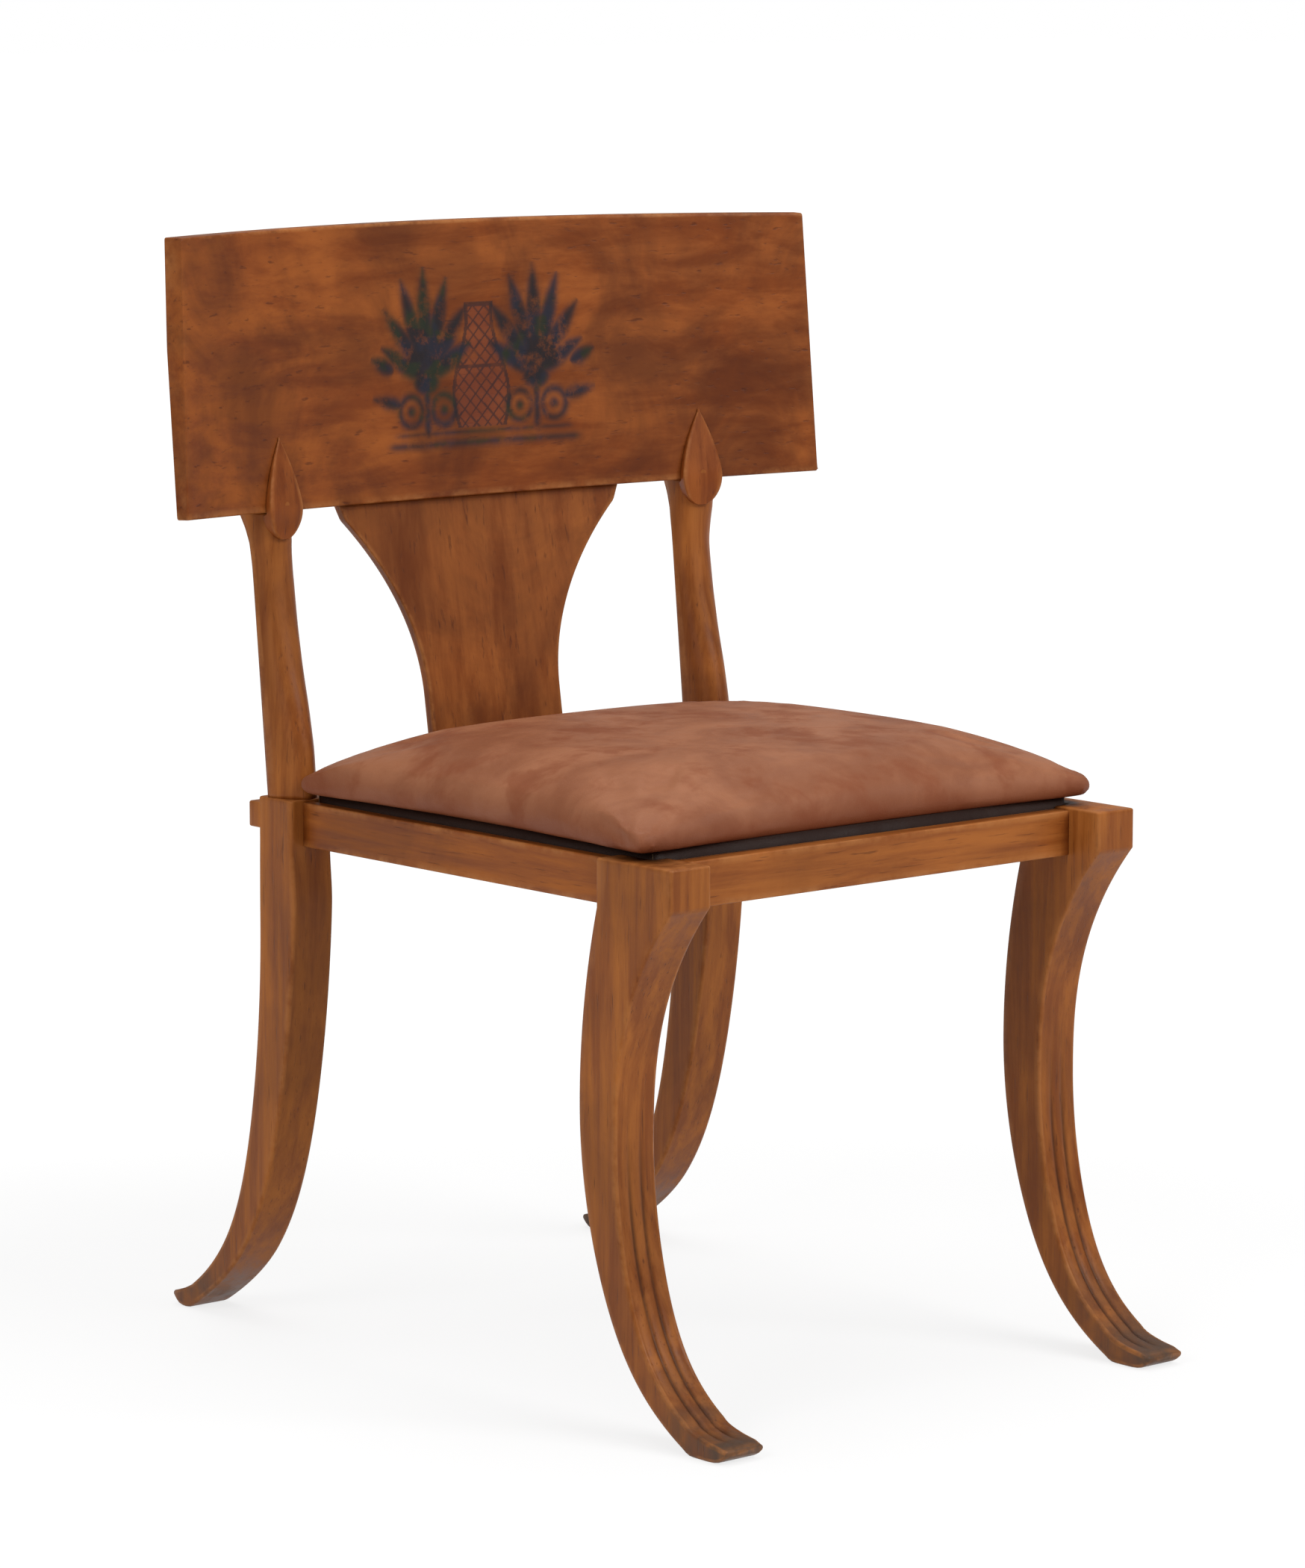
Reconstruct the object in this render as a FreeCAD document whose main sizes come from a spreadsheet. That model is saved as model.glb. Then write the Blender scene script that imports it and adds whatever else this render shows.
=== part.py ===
# Klismos chair: curved crest rail on two forked stiles, a flared splat, four sabre legs
# and a lift-out upholstered seat. Millimetres, +Z up, the sitter faces -Y.
# The origin is on the floor, midway between the toes.

import FreeCAD, Part
import math
import os
import re
import Sketcher

os.makedirs("parts", exist_ok=True)
doc = FreeCAD.newDocument("klismos_chair")
vec = FreeCAD.Vector

# Driving dimensions

dimensions = [
    # seat frame
    ("seat_height", 438, "top of the leg blocks and side rails"),
    ("rail_height", 35.5, "height of the front and side rails"),
    ("rail_drop", 2, "their tops below the seat height"),
    ("rail_inset", 13, "side rails inside the outer faces of the front legs"),
    ("side_rail_thick", 25, "side rail thickness"),
    ("front_rail_face", 252, "front rail face, ahead of the origin"),
    ("front_rail_thick", 30, "front rail thickness"),
    ("back_rail_face", 177, "back rail front face, behind the origin"),
    ("back_rail_thick", 42, "back rail thickness"),
    ("tenon_thick", 15, "tenon thickness"),
    ("tenon_long", 18, "tenon length"),
    ("tenon_rise", 4, "tenon above the rail's underside"),
    ("tenon_height", 18, "tenon height"),
    ("joint_gap", 0.15, "clearance round tenons, tongues and pegs"),
    # legs
    ("leg_width", 40, "width of every leg across the chair"),
    ("front_leg_centre", 222, "front leg centre plane"),
    ("rear_leg_inset", 1, "rear legs and stiles nearer the middle than that"),
    ("horn_reach", 32.6, "horn ahead of the front rail face"),
    ("horn_height", 31.2, "height of the horn's front face"),
    ("front_block_back", 198.8, "back of the front leg at the rail"),
    ("front_calf_back", 178.6, "hindmost line of the front leg"),
    ("front_calf_height", 248, "height of the hindmost line"),
    ("front_calf_sway", 83.8, "slow sweep of the back edge"),
    ("front_toe_deep", 40.2, "foot's depth at the floor, behind the toe tips"),
    ("front_shin_back", 218.5, "hindmost line of the front edge"),
    ("front_shin_height", 223, "height of that line"),
    ("front_shin_sway", 65.2, "slow sweep of the front edge"),
    ("front_toe_round", 11.3, "the front edge's end beyond the toe tips, cut off there"),
    ("toe_reach", 345.4, "toe tips from the origin, front and back"),
    ("toe_height", 12, "top of the toe tip"),
    ("toe_sole_gap", 11, "sole ends this far inside the toe tip"),
    ("heel_rise", 3, "the heel's curve stops this high above the floor"),
    ("front_sole_long", 41.4, "front sole behind the toe tips"),
    ("rear_sole_long", 23.4, "rear sole inside the toe tips"),
    ("rear_block_back", 220, "back of the rear leg at the rail"),
    ("rear_horn_reach", 13, "rear horn behind the block"),
    ("rear_horn_drop", 5, "rear horn top below the seat height"),
    ("rear_horn_height", 21, "rear horn height"),
    ("rear_calf_back", 220.7, "first back line of the rear leg"),
    ("rear_calf_height", 338, "height of that line"),
    ("rear_calf_sway", 60.4, "slow sweep of the back edge"),
    ("rear_toe_round", 10.8, "the back edge's end beyond the toe tips, cut off there"),
    ("rear_shin_drop", 35, "start of the front edge's sweep below the seat"),
    ("rear_shin_sway", 77.5, "slow sweep of the front edge"),
    ("rear_toe_deep", 21.9, "foot's depth at the floor, inside the toe tips"),
    ("reed_groove_width", 3, "groove between two reeds"),
    ("reed_groove_depth", 1.6, "groove depth"),
    ("reed_pitch", 12, "spacing of the reeds"),
    # back
    ("crest_radius", 1200, "front face of the crest, seen from above"),
    ("crest_front", 232.7, "crest front at its middle and bottom"),
    ("crest_thick", 17.5, "crest thickness"),
    ("crest_lean", 0.053, "crest lean, back per unit of height"),
    ("back_gap", 229, "lower corners of the crest above the seat"),
    ("crest_height", 219, "height of the crest at its ends"),
    ("crest_arch", 3.2, "rise of the top and dip of the bottom"),
    ("crest_half_top", 326, "half the crest's length along the top"),
    ("crest_half_bottom", 332.5, "half its length along the bottom"),
    ("bevel_start", 245, "back bevel of the crest's ends, from the middle"),
    ("bevel_height", 121, "height of the bevel at the end"),
    ("bevel_deep", 7.5, "bevel depth at the lower corner"),
    ("stile_width", 37.5, "stile width"),
    ("stile_back", 209, "back of the stile at the seat"),
    ("stile_lean", 0.096, "stile lean, back per unit of height"),
    ("stile_root_depth", 31.5, "stile depth at the seat"),
    ("stile_knee_depth", 32.5, "stile depth at the knee"),
    ("stile_knee_rise", 39, "knee above the seat"),
    ("stile_neck_depth", 14.5, "least stile depth"),
    ("stile_neck_drop", 63, "least depth below the crest"),
    ("stile_tenon_deep", 14, "stile tenon, front to back"),
    ("stile_tenon_front", 22, "tenon front ahead of the stile back"),
    ("stile_tenon_long", 12, "tenon below the seat height"),
    ("leaf_width", 38, "width of the leaf"),
    ("leaf_belly_rise", 4, "widest part above the crest's lower corners"),
    ("leaf_long", 53, "tip above the widest part"),
    ("leaf_thick", 6.5, "leaf in front of the crest, at its foot"),
    ("leaf_tip_thick", 1.3, "leaf at its tip"),
    ("prong_thick", 10, "prong behind the crest, at its foot"),
    ("prong_tip_thick", 3, "prong at its tip"),
    ("peg_radius", 2.5, "fork peg, at the front"),
    ("peg_taper", 0.4, "fork peg, thinner at the back"),
    ("splat_front", 206.3, "splat front at the seat"),
    ("splat_lean", 0.154, "splat lean"),
    ("splat_thick", 9, "splat thickness"),
    ("splat_half_width", 69, "half width of the lower splat"),
    ("splat_straight", 65, "straight part above the seat"),
    ("splat_flare_drop", 14, "end of the flare below the crest"),
    ("splat_flare_half", 142, "half width at the flare's end"),
    ("splat_top_half", 148.5, "half width under the crest"),
    ("splat_tenon_half", 55, "half width of the bottom tenon"),
    ("splat_tenon_deep", 16, "depth of the bottom tenon"),
    ("tongue_thick", 4.5, "tongue in the crest's groove"),
    ("tongue_height", 8, "height of the tongue"),
    ("tongue_setback", 0.5, "tongue behind the splat's front face"),
    ("tongue_half", 135, "half length of the tongue"),
    # lift-out seat
    ("ledge_drop", 12, "ledge below the seat height"),
    ("ledge_width", 14, "width of the ledge"),
    ("seat_side_gap", 1.2, "seat to the rails, all round"),
    ("seat_rest_gap", 0.3, "seat to the ledge"),
    ("leather_thick", 1.5, "leather cover"),
    ("layer_gap", 0.1, "between layers of the upholstery"),
    ("cover_gap", 0.5, "padding to the leather"),
    ("border_width", 24, "leather turned under the seat"),
    ("seat_bar_width", 48, "width of the seat frame's bars"),
    ("seat_bar_thick", 14, "thickness of the bars"),
    ("web_width", 50, "webbing width"),
    ("web_thick", 1, "webbing thickness"),
    ("deck_thick", 0.6, "hessian deck"),
    ("cloth_thick", 0.6, "dust cloth"),
    ("cushion_half_width", 237, "cushion corners, sideways"),
    ("cushion_front", 245, "cushion corners, forwards"),
    ("cushion_back", 176, "cushion corners, backwards"),
    ("cushion_crown", 48, "height of the crown over the deck"),
    ("cushion_waist", 12, "height of the widest line over the deck"),
    ("cushion_lip", 5, "height of the foot's turn over the deck"),
    ("cushion_foot_tuck", 9, "foot of the cushion inside its widest line"),
    ("cushion_lip_tuck", 2, "the same at the foot's turn"),
    ("cushion_top_tuck", 150, "edge of the flat crown inside the widest line"),
    ("cushion_corner", 22, "corner radius at the widest line"),
    ("side_draw", 9, "sides drawn in between the corners"),
    ("front_draw", 4, "front and back drawn in"),
    ("tack_radius", 2.4, "tack head"),
    ("tack_head_thick", 0.7, "tack head thickness"),
    ("tack_long", 9, "tack shank"),
    ("tack_inset", 18.5, "tack line from the seat's edge"),
    ("dowel_radius", 4, "seat frame dowels"),
    ("dowel_long", 40, "seat frame dowels"),
    ("dowel_clear", 3, "wood between the tacks and the first dowel"),
    ("dowel_pitch", 14, "spacing of the two dowels"),
    # corner blocks
    ("block_leg", 46, "corner block along each rail"),
    ("block_height", 22, "corner block height"),
    ("block_nose", 12, "flat of the block's cut tip"),
    ("screw_radius", 2, "screw shank"),
    ("screw_head_radius", 4, "screw head"),
    ("screw_long", 30, "screw shank length"),
    ("screw_head_thick", 2.5, "screw head thickness"),
]

sheet = doc.addObject("Spreadsheet::Sheet", "Dims")
for row, (alias, number, note) in enumerate(dimensions, start=1):
    sheet.set("A%d" % row, alias)
    sheet.set("B%d" % row, str(number))
    sheet.set("C%d" % row, note)
    sheet.setAlias("B%d" % row, alias)
doc.recompute()
aliases = {alias for alias, number, note in dimensions}


def size(alias):
    return float(sheet.get(alias))


# Helpers

pieces = []


def bind(obj, prop, formula):
    # a formula is written with the sheet's aliases
    def named(match):
        word = match.group(0)
        return "Dims." + word if word in aliases else word

    obj.setExpression(prop, re.sub(r"[a-z][a-z_]*", named, formula))


def keep(obj, label):
    obj.Label = label
    pieces.append(obj)
    return obj


def box(name, x, y, z, dx, dy, dz):
    obj = doc.addObject("Part::Box", name)
    for prop, formula in (("Placement.Base.x", x), ("Placement.Base.y", y), ("Placement.Base.z", z),
                          ("Length", dx), ("Width", dy), ("Height", dz)):
        bind(obj, prop, formula)
    return obj


def raw(name, shape):
    obj = doc.addObject("Part::Feature", name)
    obj.Shape = shape
    obj.Placement = FreeCAD.Placement()
    return obj


def fuse(name, parts):
    obj = doc.addObject("Part::MultiFuse", name)
    obj.Shapes = parts
    return obj


def cut(name, base, tools):
    obj = doc.addObject("Part::Cut", name)
    obj.Base = base
    obj.Tool = tools[0] if len(tools) == 1 else fuse(name + "_tools", tools)
    return obj


def common(name, first, second):
    obj = doc.addObject("Part::Common", name)
    obj.Base = first
    obj.Tool = second
    return obj


def mirrored(name, source):
    obj = doc.addObject("Part::Mirroring", name)
    obj.Source = source
    obj.Normal = vec(1, 0, 0)
    obj.Base = vec(0, 0, 0)
    return obj


def newBody(name):
    return doc.addObject("PartDesign::Body", name)


def newSketch(body, name, role):
    sketch = body.newObject("Sketcher::SketchObject", name)
    plane = [f for f in body.Origin.OriginFeatures if f.Role == role][0]
    sketch.AttachmentSupport = [(plane, "")]
    sketch.MapMode = "FlatFace"
    return sketch


def spline(points):
    curve = Part.BSplineCurve()
    curve.interpolate(points)
    return curve


def closedFace(curves):
    edges = [c if isinstance(c, Part.Edge) else c.toShape() for c in curves]
    return Part.Face(Part.Wire(Part.__sortEdges__(edges)))


def line(a, b):
    return Part.LineSegment(a, b)


def sweepEdge(waist, waistHeight, way, sway, foot, heights):
    # below its waist a leg's edge runs out as sway * t^2 + kick * t^8, t = share of the way down,
    # with the kick that brings it to the foot at the floor
    kick = foot - way * waist - sway
    points = []
    for z in heights:
        t = (waistHeight - z) / waistHeight
        points.append(vec(waist + way * (sway * t ** 2 + kick * t ** 8), z, 0))
    return points


def riseEdge(waist, waistHeight, top, topHeight, power, shares):
    # above its waist the edge returns as a power of the share of the way up
    rise = topHeight - waistHeight
    return [vec(waist + (top - waist) * t ** power, waistHeight + rise * t, 0) for t in shares]


def legBody(name, outline):
    # the outline lies in the leg's own plane: x is the chair's depth, y is height
    body = newBody(name)
    sketch = newSketch(body, name + "_outline", "YZ_Plane")
    for curve in outline:
        sketch.addGeometry(curve, False)
    pad = body.newObject("PartDesign::Pad", name + "_plank")
    pad.Profile = sketch
    pad.Midplane = True
    bind(pad, "Length", "leg_width")
    return body


def cutReeds(body, name, outline):
    # two grooves along the front edge leave three reeds
    for side in (-1, 1):
        groove = newSketch(body, "%s_groove_%s" % (name, "ab"[side > 0]), "YZ_Plane")
        for curve in outline:
            groove.addGeometry(curve, False)
        bind(groove, "AttachmentOffset.Base.z", "%d * reed_pitch / 2" % side)
        pocket = body.newObject("PartDesign::Pocket", groove.Name + "_cut")
        pocket.Profile = groove
        pocket.Midplane = True
        bind(pocket, "Length", "reed_groove_width")
        body.Tip = pocket


# Front legs

seatZ = size("seat_height")
calf = -size("front_calf_back")
calfZ = size("front_calf_height")
shin = -size("front_shin_back")
shinZ = size("front_shin_height")
hornFront = -size("front_rail_face") - size("horn_reach")
hornZ = seatZ - size("horn_height")
railZ = seatZ - size("rail_drop") - size("rail_height")
toeY = size("toe_reach")
toeZ = size("toe_height")
soleEnd = toeY - size("toe_sole_gap")
blockBack = -size("front_block_back")


def frontEdges(inset):
    # the front edge from the toe up to the horn, moved back by inset
    low = sweepEdge(shin, shinZ, -1, size("front_shin_sway"), toeY + size("front_toe_round"),
                    [shinZ * f for f in (0.12, 0.25, 0.4, 0.6, 0.8, 1)])
    high = riseEdge(shin, shinZ, hornFront, hornZ, 2.5, (0.3, 0.55, 0.78, 1))
    tip = [vec(-toeY, toeZ, 0)]
    return [p + vec(inset, 0, 0) for p in tip + low + high]


heelZ = size("heel_rise")
calfHeights = [heelZ] + [calfZ * f for f in (0.06, 0.16, 0.3, 0.5, 0.75, 1)]
backLine = sweepEdge(calf, calfZ, -1, size("front_calf_sway"), toeY - size("front_toe_deep"), calfHeights)
backLine += riseEdge(calf, calfZ, blockBack, railZ, 2, (0.5, 1))
frontLine = frontEdges(0)
heel = vec(size("front_sole_long") - toeY, 0, 0)
frontOutline = [
    spline(backLine),
    line(backLine[-1], vec(blockBack, seatZ, 0)),
    line(vec(blockBack, seatZ, 0), vec(hornFront, seatZ, 0)),
    line(vec(hornFront, seatZ, 0), frontLine[-1]),
    spline(frontLine),
    line(frontLine[0], vec(-toeY, toeZ / 2, 0)),
    line(vec(-toeY, toeZ / 2, 0), vec(-soleEnd, 0, 0)),
    line(vec(-soleEnd, 0, 0), heel),
    line(heel, backLine[0]),
]
# the grooves run from just above the toe to a little over the waist
outer = frontEdges(-size("reed_groove_depth"))[1:-2]
inner = frontEdges(size("reed_groove_depth"))[1:-2]
frontGroove = [spline(outer), spline(inner), line(outer[0], inner[0]), line(outer[-1], inner[-1])]
frontPlank = legBody("front_leg_blank", frontOutline)
cutReeds(frontPlank, "front_leg_blank", frontGroove)
bind(frontPlank, "Placement.Base.x", "-front_leg_centre")

# Rear legs

rearFace = size("back_rail_face")
rearBack = size("rear_block_back")
rearCalf = size("rear_calf_back")
rearCalfZ = size("rear_calf_height")
rearShinZ = seatZ - size("rear_shin_drop")
hornTop = seatZ - size("rear_horn_drop")
hornLow = hornTop - size("rear_horn_height")
hornEnd = rearBack + size("rear_horn_reach")
shinLine = sweepEdge(rearFace, rearShinZ, 1, size("rear_shin_sway"), toeY - size("rear_toe_deep"),
                     [heelZ] + [rearShinZ * f for f in (0.04, 0.1, 0.2, 0.35, 0.55, 0.8, 1)])
rearHeel = vec(toeY - size("rear_sole_long"), 0, 0)
calfLine = [vec(toeY, toeZ, 0)]
calfLine += sweepEdge(rearCalf, rearCalfZ, 1, size("rear_calf_sway"), toeY + size("rear_toe_round"),
                      [rearCalfZ * f for f in (0.1, 0.2, 0.35, 0.55, 0.8, 1)])
calfLine += [vec(rearBack, hornLow, 0)]
rearOutline = [
    spline(shinLine),
    line(shinLine[-1], vec(rearFace, seatZ, 0)),
    line(vec(rearFace, seatZ, 0), vec(rearBack, seatZ, 0)),
    line(vec(rearBack, seatZ, 0), vec(rearBack, hornTop, 0)),
    line(vec(rearBack, hornTop, 0), vec(hornEnd, hornTop, 0)),
    line(vec(hornEnd, hornTop, 0), vec(hornEnd, hornLow, 0)),
    line(vec(hornEnd, hornLow, 0), vec(rearBack, hornLow, 0)),
    spline(calfLine),
    line(calfLine[0], vec(toeY, toeZ / 2, 0)),
    line(vec(toeY, toeZ / 2, 0), vec(soleEnd, 0, 0)),
    line(vec(soleEnd, 0, 0), rearHeel),
    line(rearHeel, shinLine[0]),
]
rearPlank = legBody("rear_leg_blank", rearOutline)
bind(rearPlank, "Placement.Base.x", "rear_leg_inset - front_leg_centre")

# Rails with their tenons, and the mortises that take them

railLow = "seat_height - rail_drop - rail_height"
tenonLow = railLow + " + tenon_rise"
frontInner = "(front_leg_centre - leg_width / 2)"
rearInner = "(front_leg_centre - rear_leg_inset - leg_width / 2)"
sideOuter = "(front_leg_centre + leg_width / 2 - rail_inset)"
sideInner = "(front_leg_centre + leg_width / 2 - rail_inset - side_rail_thick)"


def tenon(name, x, y, dx, dy, grow):
    # one tenon, or its mortise when grow is 1
    g = " %+d * joint_gap" % grow
    g2 = " %+d * joint_gap" % (2 * grow)
    low = " %+d * joint_gap" % -grow
    return box(name, x + low, y + low, tenonLow + low, dx + g2, dy + g2, "tenon_height" + g2)


frontTenonY = "-front_rail_face + (front_rail_thick - tenon_thick) / 2"
backTenonY = "back_rail_face + back_rail_thick - tenon_thick - tenon_rise"
sideTenonX = "-" + sideOuter + " + (side_rail_thick - tenon_thick) / 2"


def frontTenon(name, grow):
    return tenon(name, "-%s - tenon_long" % frontInner, frontTenonY,
                 "2 * (%s + tenon_long)" % frontInner, "tenon_thick", grow)


def backTenon(name, grow):
    return tenon(name, "-%s - tenon_long" % rearInner, backTenonY,
                 "2 * (%s + tenon_long)" % rearInner, "tenon_thick", grow)


def sideTenon(name, grow):
    return tenon(name, sideTenonX, "-front_block_back - tenon_long", "tenon_thick",
                 "front_block_back + back_rail_face + 2 * tenon_long", grow)


recess = box("seat_recess", "-" + sideInner + " - ledge_width",
             "-front_rail_face + front_rail_thick - ledge_width", "seat_height - ledge_drop",
             "2 * (" + sideInner + " + ledge_width)",
             "front_rail_face - front_rail_thick + ledge_width + back_rail_face", "seat_height")

frontBar = box("front_rail_bar", "-" + frontInner, "-front_rail_face", railLow,
               "2 * " + frontInner, "front_rail_thick", "rail_height")
backBar = box("back_rail_bar", "-" + rearInner, "back_rail_face", railLow,
              "2 * " + rearInner, "back_rail_thick", "rail_height + rail_drop")
sideBar = box("side_rail_bar", "-" + sideOuter, "-front_block_back", railLow,
              "side_rail_thick", "front_block_back + back_rail_face", "rail_height")


# Corner blocks and their screws


def cornerBlock(name, alongX, alongY, x, y):
    # a triangle in the corner of two rails, with its long tip cut flat
    body = newBody(name)
    sketch = newSketch(body, name + "_outline", "XY_Plane")
    leg = size("block_leg")
    nose = size("block_nose")
    corners = [vec(0, 0, 0), vec(leg, 0, 0), vec(leg, nose, 0), vec(nose, leg, 0), vec(0, leg, 0)]
    corners = [vec(alongX * p.x, alongY * p.y, 0) for p in corners]
    for i in range(len(corners)):
        sketch.addGeometry(line(corners[i], corners[(i + 1) % len(corners)]), False)
    pad = body.newObject("PartDesign::Pad", name + "_block")
    pad.Profile = sketch
    bind(pad, "Length", "block_height")
    bind(body, "Placement.Base.x", x)
    bind(body, "Placement.Base.y", y)
    bind(body, "Placement.Base.z", railLow)
    return body


def screwShape(start, way, grow):
    # head against the block, shank into the rail
    g = grow * size("joint_gap")
    head = Part.makeCylinder(size("screw_head_radius") + g, size("screw_head_thick"), start, way)
    shank = Part.makeCylinder(size("screw_radius") + g, size("screw_long") + g, start, way)
    return head.fuse(shank)


blockLeg = size("block_leg")
blockNose = size("block_nose")
innerX = size("front_leg_centre") + size("leg_width") / 2 - size("rail_inset") - size("side_rail_thick")
innerFront = -size("front_rail_face") + size("front_rail_thick")
innerBack = size("back_rail_face")
screwHeight = railZ + size("block_height") / 2
screwSeat = blockNose - size("screw_head_thick")
screwLine = blockLeg - blockNose / 2


def screwSet(grow):
    # two screws a block: one into each rail, from counterbores in the block's narrow ends
    shapes = []
    for side in (-1, 1):
        for along, cornerY in ((1, innerFront), (-1, innerBack)):
            intoSide = vec(side * (innerX - screwSeat), cornerY + along * screwLine, screwHeight)
            intoRail = vec(side * (innerX - screwLine), cornerY + along * screwSeat, screwHeight)
            shapes.append(screwShape(intoSide, vec(side, 0, 0), grow))
            shapes.append(screwShape(intoRail, vec(0, -along, 0), grow))
    return Part.makeCompound(shapes)


screwHoles = raw("screw_holes", screwSet(1))
frontBlock = cornerBlock("front_block_blank", 1, 1, "-" + sideInner, "-front_rail_face + front_rail_thick")
rearBlock = cornerBlock("rear_block_blank", 1, -1, "-" + sideInner, "back_rail_face")
legNotch = box("leg_notch", "-front_leg_centre", "-front_rail_face", railLow + " - joint_gap",
               "leg_width / 2 + joint_gap", "front_rail_face - front_block_back + joint_gap",
               "block_height + 2 * joint_gap")
frontBlock = cut("front_block_notched", frontBlock, [legNotch])

frontRail = fuse("front_rail_whole", [frontBar, frontTenon("front_tenons", 0)])
backRail = fuse("back_rail_whole", [backBar, backTenon("back_tenons", 0)])
sideRail = fuse("side_rail_whole", [sideBar, sideTenon("side_tenons", 0)])

# Curved slabs of the crest and the splat


def curvedSlab(front, thick, lean, low, high, halfWidth, refHeight):
    # a slab curved round an upright axis ahead of the chair, leaning back as it rises
    radius = size("crest_radius")
    angle = math.asin(halfWidth / radius)
    shift = front + lean * (low - refHeight)

    def at(r, a):
        return vec(r * math.sin(a), shift - radius + r * math.cos(a), low)

    inner = Part.Arc(at(radius, -angle), at(radius, 0), at(radius, angle))
    outerArc = Part.Arc(at(radius + thick, -angle), at(radius + thick, 0), at(radius + thick, angle))
    ends = [line(at(radius, s * angle), at(radius + thick, s * angle)) for s in (-1, 1)]
    face = closedFace([inner, outerArc] + ends)
    return face.extrude(vec(0, lean * (high - low), high - low))


crestFar = max(size("crest_half_bottom"), size("crest_half_top")) + size("crest_thick")
crestLow = seatZ + size("back_gap")
crestHigh = crestLow + size("crest_height")
arch = size("crest_arch")


def crestFrontAt(x):
    radius = size("crest_radius")
    return size("crest_front") - radius + math.sqrt(radius ** 2 - x ** 2)


def endBevel():
    # a flat cut across the back's lower corner, thinning the crest towards its ends
    start = size("bevel_start")
    end = size("crest_half_bottom")
    deep = size("bevel_deep")
    rise = size("bevel_height")
    nearBack = crestFrontAt(start) + size("crest_thick")
    endBack = crestFrontAt(end) + size("crest_thick") - deep
    acrossSlope = (endBack - nearBack) / (end - start)
    upSlope = size("crest_lean") + deep / rise

    def at(x, z):
        return vec(-x, nearBack + acrossSlope * (x - start) + upSlope * (z - crestLow), z)

    low = crestLow - rise
    high = crestLow + 1.5 * rise
    far = end + deep * 2
    corners = [at(start - deep, low), at(far, low), at(far, high), at(start - deep, high)]
    face = closedFace([line(corners[i], corners[(i + 1) % 4]) for i in range(4)])
    return face.extrude(vec(0, 2 * (nearBack - endBack), 0))


def crestOutline(drop, depth):
    # the crest seen from the front, its long edges gently bowed, with spare length at the ends
    half = size("crest_half_bottom")
    far = crestFar
    y = size("crest_front") - depth
    low = crestLow - drop
    edges = [
        Part.Arc(vec(-half, y, low), vec(0, y, low - arch), vec(half, y, low)),
        line(vec(half, y, low), vec(far, y, low)),
        line(vec(far, y, low), vec(far, y, crestHigh)),
        line(vec(far, y, crestHigh), vec(half, y, crestHigh)),
        Part.Arc(vec(half, y, crestHigh), vec(0, y, crestHigh + arch), vec(-half, y, crestHigh)),
        line(vec(-half, y, crestHigh), vec(-far, y, crestHigh)),
        line(vec(-far, y, crestHigh), vec(-far, y, low)),
        line(vec(-far, y, low), vec(-half, y, low)),
    ]
    return closedFace(edges).extrude(vec(0, 2 * depth, 0))


def endTrim():
    # the room beyond one end, which is square to the curve and slightly longer below
    halfTop = size("crest_half_top")
    halfLow = size("crest_half_bottom")
    foot = vec(-halfLow, crestFrontAt(halfLow), crestLow)
    top = vec(-halfTop, crestFrontAt(halfTop) + size("crest_lean") * size("crest_height"), crestHigh)
    square = vec(foot.x, foot.y - size("crest_front") + size("crest_radius"), 0).normalize()
    ahead = square * (-2 * size("crest_thick"))
    behind = square * (3 * size("crest_thick"))
    spare = (top - foot) * 0.2
    corners = [foot - spare + ahead, foot - spare + behind, top + spare + behind, top + spare + ahead]
    face = closedFace([line(corners[i], corners[(i + 1) % 4]) for i in range(4)])
    return face.extrude(vec(-3 * size("crest_thick") - abs(halfLow - halfTop), 0, 0))


sweepDepth = size("crest_half_bottom") / 2
gap = size("joint_gap")
crestSlab = raw("crest_slab", curvedSlab(size("crest_front"), size("crest_thick"), size("crest_lean"),
                                         crestLow - 2 * arch, crestHigh + 2 * arch, crestFar, crestLow))
crestPrism = raw("crest_outline", crestOutline(0, sweepDepth))
crestBoard = common("crest_board", crestSlab, crestPrism)
bevelLeft = raw("bevel_left", endBevel())
bevelRight = mirrored("bevel_right", bevelLeft)
trimLeft = raw("end_trim_left", endTrim())
trimRight = mirrored("end_trim_right", trimLeft)
crestBlank = cut("crest_blank", crestBoard, [trimLeft, trimRight, bevelLeft, bevelRight])
crestRoomSlab = curvedSlab(size("crest_front") - gap, size("crest_thick") + 2 * gap, size("crest_lean"),
                           crestLow - 2 * arch, crestHigh + 2 * arch, crestFar, crestLow)
crestRoom = raw("crest_room", crestRoomSlab.common(crestOutline(gap, sweepDepth)))

# Splat: straight below, flaring as a parabola up to the crest

splatTop = crestLow + arch
tongueTop = crestLow - arch + size("tongue_height")


def splatOutline():
    half = size("splat_half_width")
    flareLow = seatZ + size("splat_straight")
    flareHigh = crestLow - size("splat_flare_drop")
    flareHalf = size("splat_flare_half")
    topHalf = size("splat_top_half")
    halves = []
    for side in (-1, 1):
        flare = Part.BezierCurve()
        flare.setPoles([vec(side * half, 0, flareLow), vec(side * half, 0, (flareLow + flareHigh) / 2),
                        vec(side * flareHalf, 0, flareHigh)])
        halves += [line(vec(side * half, 0, seatZ), vec(side * half, 0, flareLow)), flare,
                   line(vec(side * flareHalf, 0, flareHigh), vec(side * topHalf, 0, splatTop))]
    halves += [line(vec(-half, 0, seatZ), vec(half, 0, seatZ)),
               line(vec(-topHalf, 0, splatTop), vec(topHalf, 0, splatTop))]
    return closedFace(halves).extrude(vec(0, size("crest_front") * 2, 0))


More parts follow.
